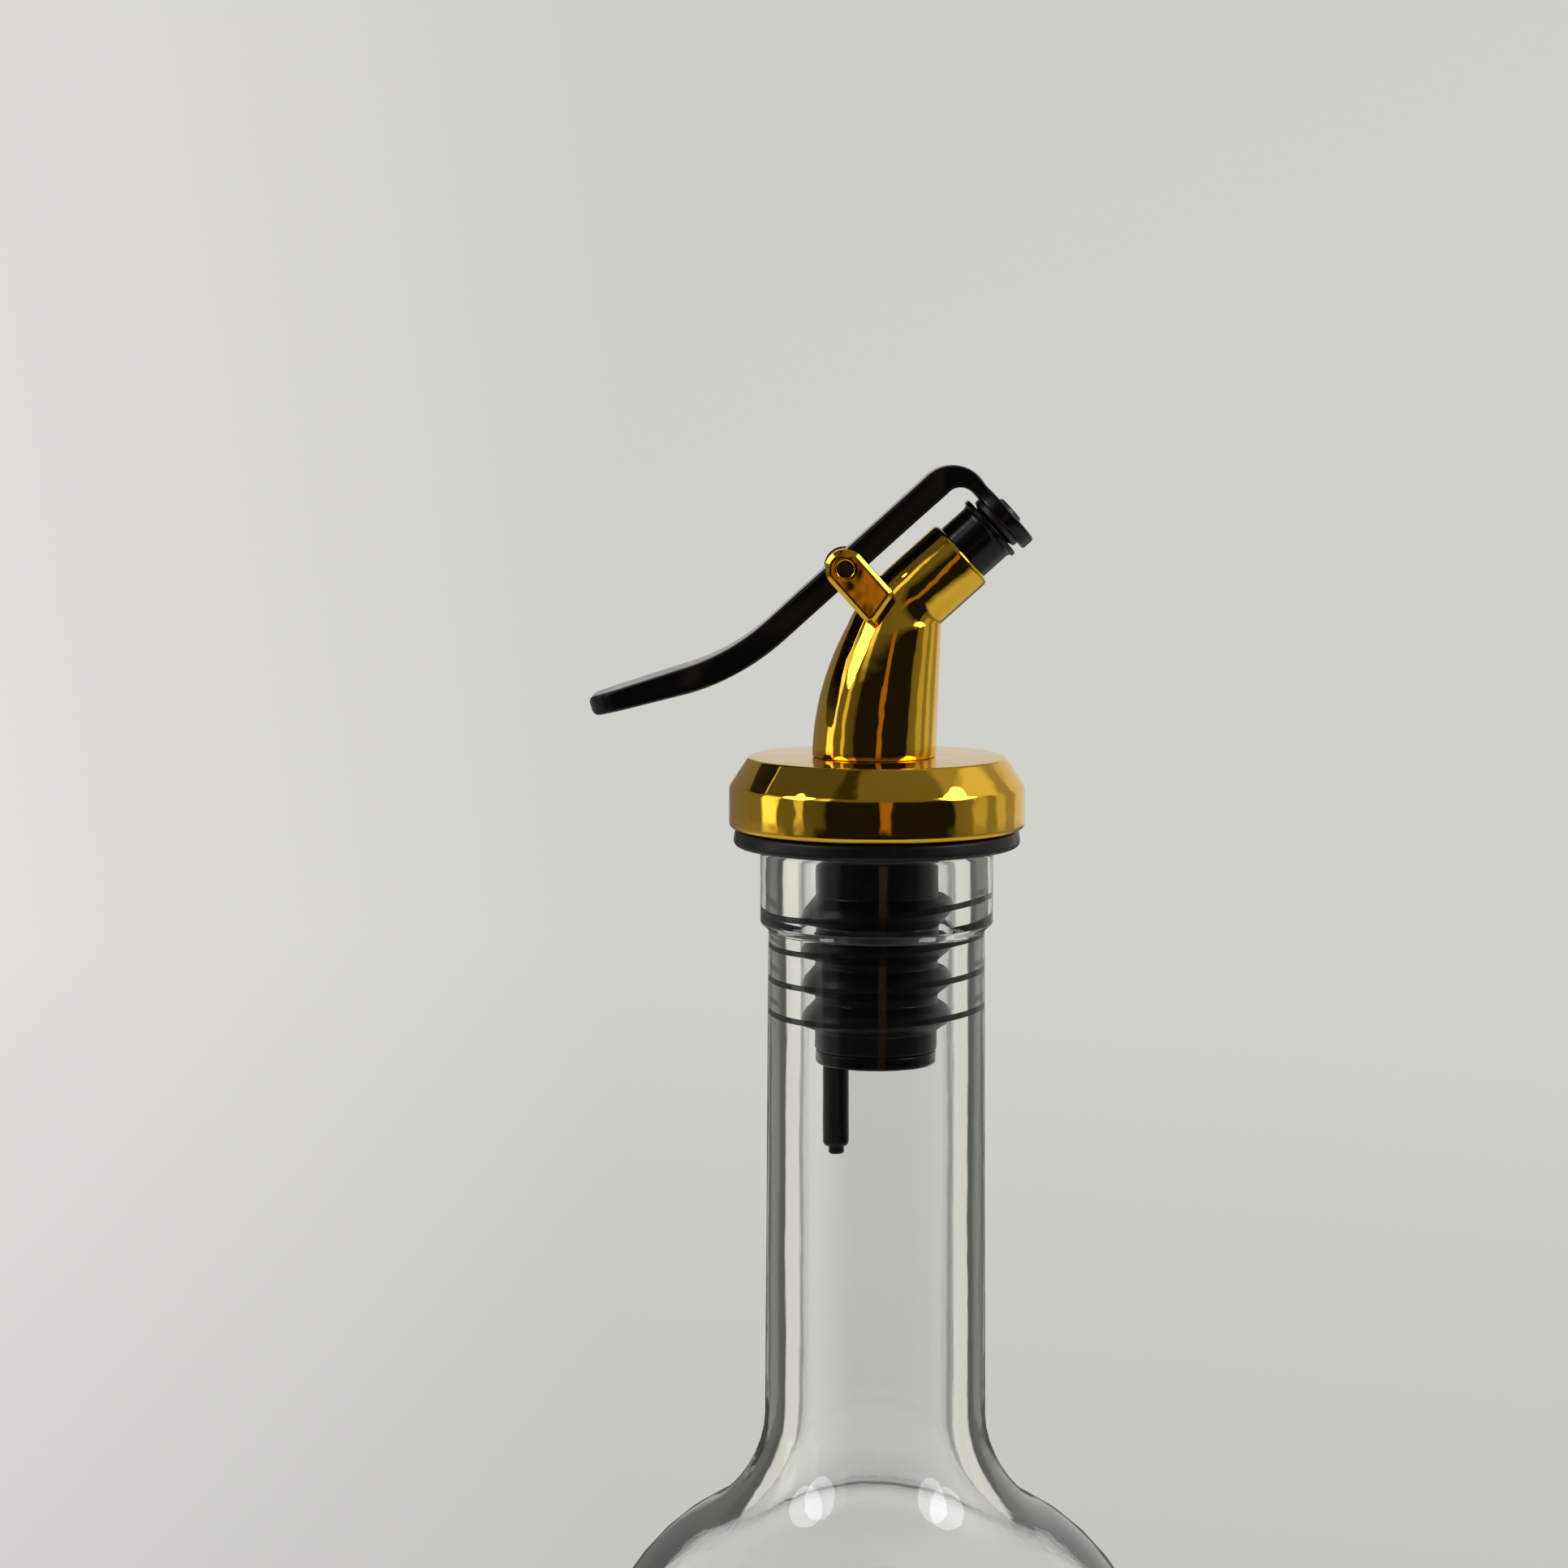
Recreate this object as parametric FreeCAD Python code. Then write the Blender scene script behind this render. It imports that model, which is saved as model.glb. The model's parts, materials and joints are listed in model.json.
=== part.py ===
import FreeCAD, Part
import math
import os

# A glass kitchen bottle with a push-in pourer: a finned rubber stopper, a gold collar and
# elbow spout, a black nozzle, and a sprung thumb lever that lifts a lid off the nozzle.
# Millimetres, +Z up. The bottle stands on Z = 0 with its axis on X = Y = 0. The spout points
# along +X, so everything but the spring is symmetric about the XZ plane.

# Driving dimensions of the glass
GLASS_HEIGHT = 309.4
BODY_RADIUS = 36.0
BODY_WALL = 3.0
NECK_RADIUS = 13.25
NECK_TAPER = 0.5
BORE_RADIUS = 9.35
SHOULDER_TOP = 229.3
SHOULDER_DROP = 11.8
PUNT_HEIGHT = 10.0
PUNT_RADIUS = 26.0

# Driving dimensions of the stopper and the collar
STOPPER_LENGTH = 26.5
SLEEVE_RADIUS = 7.5
CORE_RADIUS = 6.5
FIN_COUNT = 4
FIN_PITCH = 4.35
FIRST_FIN_HEIGHT = 301.9
FLANGE_RADIUS = 17.6
FLANGE_THICKNESS = 2.1
COLLAR_RADIUS = 18.1
COLLAR_HEIGHT = 8.7
COLLAR_WALL = 1.7
VENT_OFFSET = -4.95
VENT_LENGTH = 11.6

# Driving dimensions of the spout, the lever and the lid
TILT = 42.0
TUBE_RADIUS = 4.65
SPOUT_WALL = 0.8
PIVOT_X = -4.0
PIVOT_Z = 343.3
NOZZLE_DROP = 8.25
MOUTH_REACH = 11.8
NOZZLE_LENGTH = 4.75
ARM_THICKNESS = 3.2
ARM_WIDTH = 6.4
LID_RADIUS = 4.55
LID_THICKNESS = 1.8
LID_GAP = 0.95
EAR_WIDTH = 4.8
EAR_BACK_LENGTH = 7.2
EAR_FRONT_LENGTH = 6.1
PIN_RADIUS = 1.0

# Clearances between pieces that turn or slide on each other
RUNNING_CLEARANCE = 0.05
FIN_CLEARANCE = 0.07
FACE_GAP = 0.1
SIDE_GAP = 0.3

# Values that more than one piece needs
CORE_BEAD = 1.7
STOPPER_LOW = GLASS_HEIGHT - STOPPER_LENGTH
COLLAR_LOW = GLASS_HEIGHT + FLANGE_THICKNESS + FACE_GAP
COLLAR_TOP = COLLAR_LOW + COLLAR_HEIGHT
SOCKET_DEPTH = 4.7
VENT_BORE_RADIUS = 0.55
VENT_SPIGOT_RADIUS = 0.95
VENT_SPIGOT_LENGTH = 12.0
NOZZLE_BORE_RADIUS = 2.9
LID_FACE = MOUTH_REACH + NOZZLE_LENGTH + LID_GAP
SEAL_STEM_RADIUS = 1.2
EAR_INNER = ARM_WIDTH / 2 + SIDE_GAP
EAR_OUTER = 6.1
WIRE_RADIUS = 0.25
COIL_RADIUS = 1.45
COIL_GAP = 0.48
COIL_TURNS = 3
SPOUT_LEG = 4.6
TAIL_LEG = 6.3
SPRING_BEND = 2 * WIRE_RADIUS
POCKET_HALF = 1.8

ORIGIN = FreeCAD.Vector(0, 0, 0)
X_AXIS = FreeCAD.Vector(1, 0, 0)
Y_AXIS = FreeCAD.Vector(0, 1, 0)
Z_AXIS = FreeCAD.Vector(0, 0, 1)
PIVOT = FreeCAD.Vector(PIVOT_X, 0, PIVOT_Z)
TINY = 1e-6


def rounded_face(corners):
    """Flat face in the XZ plane through (x, z, corner radius) points, taken in order."""
    points = [FreeCAD.Vector(x, 0, z) for x, z, radius in corners]
    turns = []
    for index, here in enumerate(points):
        radius = corners[index][2]
        if radius == 0:
            turns.append((here, None, here))
            continue
        before = points[index - 1] - here
        after = points[(index + 1) % len(points)] - here
        before.normalize()
        after.normalize()
        half = before.getAngle(after) / 2
        inward = before + after
        inward.normalize()
        reach = radius / math.tan(half)
        middle = here + inward * (radius / math.sin(half) - radius)
        turns.append((here + before * reach, middle, here + after * reach))
    edges = []
    for index, (start, middle, end) in enumerate(turns):
        if middle is not None:
            edges.append(Part.Arc(start, middle, end).toShape())
        following = turns[(index + 1) % len(turns)][0]
        if end.distanceToPoint(following) > TINY:
            edges.append(Part.makeLine(end, following))
    return Part.Face(Part.Wire(edges))


def turned(corners):
    """Solid of revolution about Z from (radius, z, corner radius) points."""
    return rounded_face(corners).revolve(ORIGIN, Z_AXIS, 360)


def slab(corners, half_width):
    """XZ outline with a thickness of two half widths, centred on the symmetry plane."""
    face = rounded_face(corners)
    face.translate(FreeCAD.Vector(0, -half_width, 0))
    return face.extrude(FreeCAD.Vector(0, 2 * half_width, 0))


def cross_pin(radius, half_width):
    """Cylinder along Y, centred on the origin."""
    return Part.makeCylinder(radius, 2 * half_width, FreeCAD.Vector(0, -half_width, 0), Y_AXIS)


def rod(radius, start, length, height=0):
    """Cylinder along X from start, at the given height."""
    return Part.makeCylinder(radius, length, FreeCAD.Vector(start, 0, height), X_AXIS)


def post(radius, offset, low, length):
    """Upright cylinder whose axis stands at x = offset."""
    return Part.makeCylinder(radius, length, FreeCAD.Vector(offset, 0, low))


def from_lever(along, above):
    """Point given along the arm and square to it from the hinge, in the bottle's frame."""
    tilt = FreeCAD.Rotation(Y_AXIS, -TILT)
    return tilt.multVec(FreeCAD.Vector(along, 0, above)) + PIVOT


def on_lever(shape):
    """Move a shape drawn about the hinge (x along the arm, z away from the spout) into place."""
    shape.rotate(ORIGIN, Y_AXIS, -TILT)
    shape.translate(PIVOT)
    return shape


def on_nozzle(shape):
    """Move a shape drawn about Z from the spout's mouth onto the nozzle's axis."""
    shape.rotate(ORIGIN, Y_AXIS, 90)
    shape.translate(FreeCAD.Vector(MOUTH_REACH, 0, -NOZZLE_DROP))
    return on_lever(shape)


def glass_bottle():
    """One blown shape: punted base, straight body, rounded shoulder, long neck, finish band."""
    neck_root = NECK_RADIUS + NECK_TAPER
    shoulder_low = SHOULDER_TOP - SHOULDER_DROP
    body_blend = 26.3
    neck_blend = 15.0
    finish_radius = NECK_RADIUS + 1.0
    finish_low = GLASS_HEIGHT - 10.3
    finish_step = 0.9
    base_thickness = 5.0
    punt_flat = PUNT_RADIUS * 0.55
    inner_radius = BODY_RADIUS - BODY_WALL
    inner_drop = 1.7
    outside = [
        (0, PUNT_HEIGHT, 0),
        (punt_flat, PUNT_HEIGHT, 12),
        (PUNT_RADIUS, 0, 3),
        (BODY_RADIUS, 0, 6),
        (BODY_RADIUS, shoulder_low, body_blend),
        (neck_root, SHOULDER_TOP, neck_blend),
        (NECK_RADIUS, finish_low, 0.6),
        (finish_radius, finish_low + finish_step, 0.4),
        (finish_radius, GLASS_HEIGHT, 1.0),
        (BORE_RADIUS, GLASS_HEIGHT, 0.8),
    ]
    inside = [
        (BORE_RADIUS, SHOULDER_TOP - inner_drop, neck_blend + BODY_WALL),
        (inner_radius, shoulder_low - inner_drop, body_blend - BODY_WALL),
        (inner_radius, base_thickness, 7),
        (PUNT_RADIUS, base_thickness, 4),
        (punt_flat, PUNT_HEIGHT + base_thickness, 9),
        (0, PUNT_HEIGHT + base_thickness, 0),
    ]
    return turned(outside + inside)


def stopper_sleeve():
    """Rubber sleeve on the core, with sealing fins in the bore and a flange on the glass rim."""
    fin_radius = BORE_RADIUS - FIN_CLEARANCE
    fin_root = 1.75
    fin_shoulder_radius = 8.7
    fin_shoulder = 0.95
    fin_tip = 0.3
    hole = CORE_RADIUS + RUNNING_CLEARANCE
    bottom = STOPPER_LOW + CORE_BEAD
    top = GLASS_HEIGHT + FLANGE_THICKNESS
    outline = [
        (hole, bottom, 0),
        (SLEEVE_RADIUS, bottom, 0.3),
    ]
    for index in reversed(range(FIN_COUNT)):
        height = FIRST_FIN_HEIGHT - index * FIN_PITCH
        outline += [
            (SLEEVE_RADIUS, height - fin_root, 0.3),
            (fin_shoulder_radius, height - fin_shoulder, 0.4),
            (fin_radius, height - fin_tip, 0.12),
            (fin_radius, height + fin_tip, 0.12),
            (fin_shoulder_radius, height + fin_shoulder, 0.4),
            (SLEEVE_RADIUS, height + fin_root, 0.3),
        ]
    outline += [
        (SLEEVE_RADIUS, GLASS_HEIGHT, 0.4),
        (FLANGE_RADIUS, GLASS_HEIGHT, 0.7),
        (FLANGE_RADIUS - 0.3, top, 0.6),
        (hole, top, 0),
    ]
    return turned(outline)


def core_stem():
    """Plastic core: bead below the sleeve, flange inside the collar, spigot inside the spout."""
    bead_radius = SLEEVE_RADIUS - 0.1
    bead_top = STOPPER_LOW + CORE_BEAD - FACE_GAP
    plate_radius = COLLAR_RADIUS - COLLAR_WALL
    plate_low = COLLAR_LOW + 0.3
    plate_high = plate_low + 2.6
    spigot_top = COLLAR_TOP + SOCKET_DEPTH
    pour_radius = 3.1
    pour_offset = 2.3
    length = spigot_top - STOPPER_LOW
    stem = turned([
        (0, STOPPER_LOW, 0),
        (bead_radius, STOPPER_LOW, 0.4),
        (bead_radius, bead_top, 0.2),
        (CORE_RADIUS, bead_top, 0),
        (CORE_RADIUS, plate_low, 0.3),
        (plate_radius, plate_low, 0),
        (plate_radius, plate_high, 0),
        (CORE_RADIUS, plate_high, 0.6),
        (CORE_RADIUS, spigot_top, 0.3),
        (0, spigot_top, 0),
    ])
    channels = post(pour_radius, pour_offset, STOPPER_LOW, length).fuse([
        post(VENT_SPIGOT_RADIUS, VENT_OFFSET, STOPPER_LOW, VENT_SPIGOT_LENGTH),
        post(VENT_BORE_RADIUS, VENT_OFFSET, STOPPER_LOW, length),
    ])
    return stem.cut(channels).removeSplitter()


def vent_tube():
    """Stepped air tube: a spigot in the core, the tube below it, and a narrow tip."""
    tube_radius = 1.6
    tip_length = 1.0
    bottom = -VENT_LENGTH
    tube = turned([
        (VENT_BORE_RADIUS, bottom, 0),
        (VENT_SPIGOT_RADIUS, bottom, 0.2),
        (VENT_SPIGOT_RADIUS, bottom + tip_length, 0),
        (tube_radius, bottom + tip_length, 0.6),
        (tube_radius, 0, 0),
        (VENT_SPIGOT_RADIUS, 0, 0),
        (VENT_SPIGOT_RADIUS, VENT_SPIGOT_LENGTH, 0),
        (VENT_BORE_RADIUS, VENT_SPIGOT_LENGTH, 0),
    ])
    tube.translate(FreeCAD.Vector(VENT_OFFSET, 0, STOPPER_LOW))
    return tube


def collar_disc():
    """Plated cap over the core's flange: flat top, broad bevel, straight skirt."""
    plateau_radius = COLLAR_RADIUS - 2.4
    bevel_low = COLLAR_TOP - 3.6
    ceiling = COLLAR_TOP - COLLAR_WALL
    inner_radius = COLLAR_RADIUS - COLLAR_WALL
    return turned([
        (CORE_RADIUS, COLLAR_TOP, 0),
        (plateau_radius, COLLAR_TOP, 0.5),
        (COLLAR_RADIUS, bevel_low, 1.2),
        (COLLAR_RADIUS, COLLAR_LOW, 0.8),
        (inner_radius, COLLAR_LOW, 0.2),
        (inner_radius, bevel_low - 0.6, 0),
        (plateau_radius - 0.9, ceiling, 0),
        (CORE_RADIUS, ceiling, 0),
    ])


def spout_sections(inset):
    """Circles along the elbow: level ones up the foot, a fan about the crease, then the mouth."""
    foot_front = 7.2
    foot_back = -7.9
    crease_reach = 4.4
    crease_radius = 0.35
    throat = 11.4
    foot_steps = 8
    fan_steps = 12
    tube_width = 2 * TUBE_RADIUS
    bend = 90 - TILT
    crease = from_lever(crease_reach, -NOZZLE_DROP - TUBE_RADIUS - crease_radius)
    crease_front = crease.x - crease_radius
    places = []
    for step in range(foot_steps):
        part = step / foot_steps
        height = COLLAR_TOP + (crease.z - COLLAR_TOP) * part
        front = foot_front + (crease_front - foot_front) * part
        back = foot_back + (crease_front - throat - foot_back) * part ** 2
        places.append(((front + back) / 2, height, (front - back) / 2, 0))
    for step in range(fan_steps + 1):
        part = step / fan_steps
        angle = math.radians(bend * part)
        width = tube_width + (throat - tube_width) * (1 - part) ** 2
        reach = crease_radius + width / 2
        x = crease.x - reach * math.cos(angle)
        z = crease.z + reach * math.sin(angle)
        places.append((x, z, width / 2, bend * part))
    mouth = from_lever(MOUTH_REACH, -NOZZLE_DROP)
    places.append((mouth.x, mouth.z, TUBE_RADIUS, bend))
    wires = []
    for x, z, radius, angle in places:
        circle = Part.makeCircle(radius - inset)
        circle.rotate(ORIGIN, Z_AXIS, 180)
        circle.rotate(ORIGIN, Y_AXIS, angle)
        circle.translate(FreeCAD.Vector(x, 0, z))
        wires.append(Part.Wire(circle))
    return wires


def ear_outline(inset, corner):
    """Outline of a hinge ear about the pin, drawn in by the inset: round top, slanted foot."""
    half = EAR_WIDTH / 2 - inset
    return [
        (-half, inset - EAR_BACK_LENGTH, corner),
        (half, inset - EAR_FRONT_LENGTH, corner),
        (half, half, half),
        (-half, half, half),
    ]


def ear_pair():
    """Two upright ears for the hinge pin, each with a sunk face, a rim and a raised boss."""
    rim = 0.6
    sink = 0.35
    boss_radius = 1.5
    outline = ear_outline(0, 0.8)
    panel = ear_outline(rim, 0.4)
    ears = slab(outline, EAR_OUTER).cut(slab(outline, EAR_INNER))
    sunk = slab(panel, EAR_OUTER).cut(slab(panel, EAR_OUTER - sink))
    sunk = sunk.cut(cross_pin(boss_radius, EAR_OUTER))
    return on_lever(ears.cut(sunk))


def spout_shell():
    """Hollow plated elbow with the hinge ears on its sides and a socket for the core."""
    outside = Part.makeLoft(spout_sections(0), True, True)
    inside = Part.makeLoft(spout_sections(SPOUT_WALL), True, True)
    room = 4 * COLLAR_RADIUS
    corner = FreeCAD.Vector(-room / 2, -room / 2, COLLAR_TOP)
    foot_layer = Part.makeBox(room, room, SOCKET_DEPTH, corner)
    socket = post(CORE_RADIUS, 0, COLLAR_TOP, SOCKET_DEPTH)
    pin_hole = on_lever(cross_pin(PIN_RADIUS, EAR_OUTER))
    hollow = inside.cut(foot_layer).fuse(socket)
    shell = outside.fuse(ear_pair()).cut(hollow)
    return shell.cut(pin_hole).removeSplitter()


def nozzle_insert():
    """Black pouring tube pushed into the mouth, ending in a thin flared drip lip."""
    inserted = 5.0
    outer = TUBE_RADIUS - SPOUT_WALL
    lip_radius = 4.3
    lip_low = NOZZLE_LENGTH - 0.6
    return on_nozzle(turned([
        (NOZZLE_BORE_RADIUS, -inserted, 0),
        (outer, -inserted, 0.3),
        (outer, lip_low, 0.35),
        (lip_radius, lip_low, 0.15),
        (lip_radius, NOZZLE_LENGTH, 0.15),
        (NOZZLE_BORE_RADIUS, NOZZLE_LENGTH, 0.3),
    ]))


def lever_blank():
    """Side outline of the lever crossed with its plan: thumb pad, straight arm, drop to the lid."""
    half = ARM_THICKNESS / 2
    half_width = ARM_WIDTH / 2
    outer_face = LID_FACE + LID_THICKNESS
    bend_angle = math.radians(26)
    bend_radius = 28.0
    bend_at = -17.5
    widen_from = -11.0
    widen_to = -22.0
    widen_blend = 16.0
    pad_length = 18.5
    pad_half_width = 5.4
    pad_tip_half = 1.2
    pad_tip_round = 0.9
    drop_outer_bend = 4.2
    drop_inner_bend = 2.0
    shift = half * math.tan(bend_angle / 2)
    along = FreeCAD.Vector(-math.cos(bend_angle), 0, math.sin(bend_angle))
    across = FreeCAD.Vector(math.sin(bend_angle), 0, math.cos(bend_angle))
    tip = FreeCAD.Vector(bend_at, 0, 0) + along * pad_length
    tip_top = tip + across * pad_tip_half
    tip_low = tip - across * pad_tip_half
    side = slab([
        (outer_face, half, drop_outer_bend),
        (outer_face, -NOZZLE_DROP, 0),
        (LID_FACE, -NOZZLE_DROP, 0),
        (LID_FACE, -half, drop_inner_bend),
        (bend_at - shift, -half, bend_radius + half),
        (tip_low.x, tip_low.z, pad_tip_round),
        (tip_top.x, tip_top.z, pad_tip_round),
        (bend_at + shift, half, bend_radius - half),
    ], pad_half_width)
    front = outer_face + 1
    back = tip_low.x
    pad_corner = 4.6
    plan = rounded_face([
        (front, -half_width, 0),
        (front, half_width, 0),
        (widen_from, half_width, widen_blend),
        (widen_to, pad_half_width, widen_blend),
        (back, pad_half_width, pad_corner),
        (back, -pad_half_width, pad_corner),
        (widen_to, -pad_half_width, widen_blend),
        (widen_from, -half_width, widen_blend),
    ])
    reach = 30
    plan.rotate(ORIGIN, X_AXIS, 90)
    plan.translate(FreeCAD.Vector(0, 0, -reach))
    return side.common(plan.extrude(FreeCAD.Vector(0, 0, 2 * reach)))


def spring_room():
    """Room for the spring: a pocket round the coil, open above and below, and a slot in the tail."""
    radius = COIL_RADIUS + WIRE_RADIUS + 0.2
    depth = ARM_THICKNESS
    slot_length = TAIL_LEG + 0.5
    slot_roof = WIRE_RADIUS - SPRING_BEND
    below = Part.makeBox(2 * radius, 2 * POCKET_HALF, depth,
                         FreeCAD.Vector(-radius, -POCKET_HALF, -depth))
    slot = Part.makeBox(slot_length, 2 * POCKET_HALF, depth,
                        FreeCAD.Vector(-slot_length, -POCKET_HALF, slot_roof - depth))
    return cross_pin(radius, POCKET_HALF).fuse([below, slot])


def lever_arm():
    """Thumb lever with its hub on the pin and the lid moulded on the end of the drop."""
    hub_radius = 1.9
    half_width = ARM_WIDTH / 2
    lid = rod(LID_RADIUS, LID_FACE, LID_THICKNESS, -NOZZLE_DROP)
    lid = lid.makeFillet(0.35, [edge for edge in lid.Edges if edge.Closed])
    arm = lever_blank().fuse([lid, cross_pin(hub_radius, half_width)])
    pin_hole = cross_pin(PIN_RADIUS + RUNNING_CLEARANCE, half_width)
    stem_hole = rod(SEAL_STEM_RADIUS, LID_FACE, LID_THICKNESS, -NOZZLE_DROP)
    arm = arm.cut([spring_room(), pin_hole, stem_hole])
    return on_lever(arm.removeSplitter())


def lid_seal():
    """Silicone seal: domed pad inside the lid, stem through it, round head outside."""
    pad_radius = 3.5
    dome_radius = 7.5
    dome_depth = 0.45
    head_radius = 1.9
    head_height = 0.45
    head_sphere = (head_radius ** 2 + head_height ** 2) / (2 * head_height)
    lip = LID_FACE - LID_GAP
    outer_face = LID_FACE + LID_THICKNESS
    pad_start = lip - dome_depth
    pad = rod(pad_radius, pad_start, LID_FACE - pad_start)
    dome = Part.makeSphere(dome_radius, FreeCAD.Vector(pad_start + dome_radius, 0, 0))
    stem = rod(SEAL_STEM_RADIUS, LID_FACE, LID_THICKNESS)
    head = rod(head_radius, outer_face, head_height)
    round_top = Part.makeSphere(head_sphere,
                                FreeCAD.Vector(outer_face + head_height - head_sphere, 0, 0))
    seal = pad.common(dome).fuse([stem, head.common(round_top)]).removeSplitter()
    seal.translate(FreeCAD.Vector(0, 0, -NOZZLE_DROP))
    return on_lever(seal)


def hinge_pin():
    """Plain pin pressed into both ears, ending a little inside their outer faces."""
    recess = 1.3
    return on_lever(cross_pin(PIN_RADIUS, EAR_OUTER - recess))


def least_gap(path):
    """Least clear gap of a wire to itself, from points more than half a turn apart along it."""
    apart = math.pi * COIL_RADIUS
    travelled = [0.0]
    for before, here in zip(path, path[1:]):
        travelled.append(travelled[-1] + before.distanceToPoint(here))
    gaps = []
    for i, first in enumerate(path):
        for j, second in enumerate(path):
            if travelled[j] - travelled[i] > apart:
                gaps.append(first.distanceToPoint(second) - 2 * WIRE_RADIUS)
    return min(gaps)


def on_coil(angle, offset):
    """Point of the coil at an angle about the pin, and the heading of the wire there."""
    pitch = 2 * WIRE_RADIUS + COIL_GAP
    turn = math.radians(angle)
    point = FreeCAD.Vector(COIL_RADIUS * math.cos(turn), offset, COIL_RADIUS * math.sin(turn))
    heading = FreeCAD.Vector(-COIL_RADIUS * math.sin(turn), -pitch / (2 * math.pi),
                             COIL_RADIUS * math.cos(turn))
    heading.normalize()
    return point, heading


def return_spring():
    """Torsion spring on the pin: leg on the spout's back, turns, a bend, leg in the lever's tail."""
    leg_angle = -3.0
    tail_angle = 180 + TILT
    steps = 60
    pitch = 2 * WIRE_RADIUS + COIL_GAP
    height = pitch * (COIL_TURNS - 1 + (tail_angle - leg_angle) / 360)
    tail_length = TAIL_LEG - COIL_RADIUS - SPRING_BEND
    start, first_heading = on_coil(leg_angle, height / 2)
    end, last_heading = on_coil(tail_angle, -height / 2)
    outward = FreeCAD.Vector(math.cos(math.radians(tail_angle)), 0, math.sin(math.radians(tail_angle)))
    leg_end = start - first_heading * SPOUT_LEG
    bend_centre = end + outward * SPRING_BEND
    bend_middle = bend_centre + (last_heading - outward) * (SPRING_BEND * math.sqrt(0.5))
    bend_end = bend_centre + last_heading * SPRING_BEND
    tail_end = bend_end + outward * tail_length
    helix = Part.makeHelix(pitch, height, COIL_RADIUS)
    helix.rotate(ORIGIN, X_AXIS, 90)
    helix.rotate(ORIGIN, Y_AXIS, -leg_angle)
    helix.translate(FreeCAD.Vector(0, height / 2, 0))
    centre_line = [
        Part.makeLine(leg_end, start),
        *helix.Edges,
        Part.Arc(end, bend_middle, bend_end).toShape(),
        Part.makeLine(bend_end, tail_end),
    ]
    path = [point for edge in centre_line for point in edge.discretize(steps)]
    print(f"return_spring least gap to itself {least_gap(path):.2f}")
    coil_section = Part.Wire(Part.makeCircle(WIRE_RADIUS, start, first_heading))
    bend_section = Part.Wire(Part.makeCircle(WIRE_RADIUS, end, last_heading))
    coil = Part.Wire(helix.Edges).makePipeShell([coil_section], True, True)
    leg = Part.makeCylinder(WIRE_RADIUS, SPOUT_LEG, start, first_heading * -1)
    bend = Part.Face(bend_section).revolve(bend_centre, last_heading.cross(outward), 90)
    tail = Part.makeCylinder(WIRE_RADIUS, tail_length, bend_end, outward)
    spring = coil.fuse([leg, bend, tail]).removeSplitter()
    spring.translate(PIVOT)
    return spring


PIECES = [
    glass_bottle,
    stopper_sleeve,
    core_stem,
    vent_tube,
    collar_disc,
    spout_shell,
    nozzle_insert,
    lever_arm,
    lid_seal,
    hinge_pin,
    return_spring,
]

os.makedirs("parts", exist_ok=True)
for make in PIECES:
    name = make.__name__
    shape = make()
    solid = shape.Solids[0]
    print(f"{name} valid {shape.isValid()} solids {len(shape.Solids)} volume {shape.Volume:.2f} mm3")
    solid.exportStep(os.path.join("parts", name + ".step"))
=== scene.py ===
# %% [markdown]
# # A glass kitchen bottle with a lever pourer
#
# A tall clear bottle for oil or vinegar. A pourer is pushed into its neck: a finned rubber
# stopper, a gold collar, an elbow spout with a black nozzle, and a thumb lever that lifts a
# small lid off the nozzle.
#
# The solid parts come first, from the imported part. They set where everything is. This script
# then models each visible piece again, with rounded edges and a real surface.

import json
import math

import bmesh
import bpy
from mathutils import Matrix, Vector, noise

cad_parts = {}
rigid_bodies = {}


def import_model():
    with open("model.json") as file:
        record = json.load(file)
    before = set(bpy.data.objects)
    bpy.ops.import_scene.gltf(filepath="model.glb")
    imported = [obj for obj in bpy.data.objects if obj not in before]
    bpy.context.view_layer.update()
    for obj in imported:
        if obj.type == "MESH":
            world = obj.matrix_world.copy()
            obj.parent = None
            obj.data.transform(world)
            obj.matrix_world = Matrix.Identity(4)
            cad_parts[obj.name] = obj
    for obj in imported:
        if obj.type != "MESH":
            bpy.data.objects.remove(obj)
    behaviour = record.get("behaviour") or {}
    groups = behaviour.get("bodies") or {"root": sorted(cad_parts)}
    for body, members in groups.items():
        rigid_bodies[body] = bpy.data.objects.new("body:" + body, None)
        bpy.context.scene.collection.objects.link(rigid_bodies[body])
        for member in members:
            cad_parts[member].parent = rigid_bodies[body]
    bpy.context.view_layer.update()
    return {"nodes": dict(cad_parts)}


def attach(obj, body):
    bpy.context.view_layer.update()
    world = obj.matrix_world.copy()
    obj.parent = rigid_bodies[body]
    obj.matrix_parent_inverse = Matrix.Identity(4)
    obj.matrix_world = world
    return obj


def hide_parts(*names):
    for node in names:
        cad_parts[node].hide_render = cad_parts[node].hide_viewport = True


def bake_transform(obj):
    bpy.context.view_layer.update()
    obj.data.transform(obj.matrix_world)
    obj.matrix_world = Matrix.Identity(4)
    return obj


for leftover in list(bpy.data.objects):
    bpy.data.objects.remove(leftover)

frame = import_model()
MM = 0.001
print("Solid parts:", ", ".join(frame["nodes"]))

# %% [markdown]
# ## Tools for turned pieces
#
# Most of the bottle is round about one axis. Such a piece is half a section, drawn once and
# spun. A Screw modifier on a curve could do the same, but a spin leaves a plain mesh that later
# steps can still shape. The section is a list of corners, and each corner carries its own
# rounding radius, as on a drawing. A bevel of one vertex turns a corner into an arc.

# %% Draw a section and spin it
STEP_ANGLE = 8.0
LEAST_STEPS = 3
WELD = 0.000001


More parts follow.
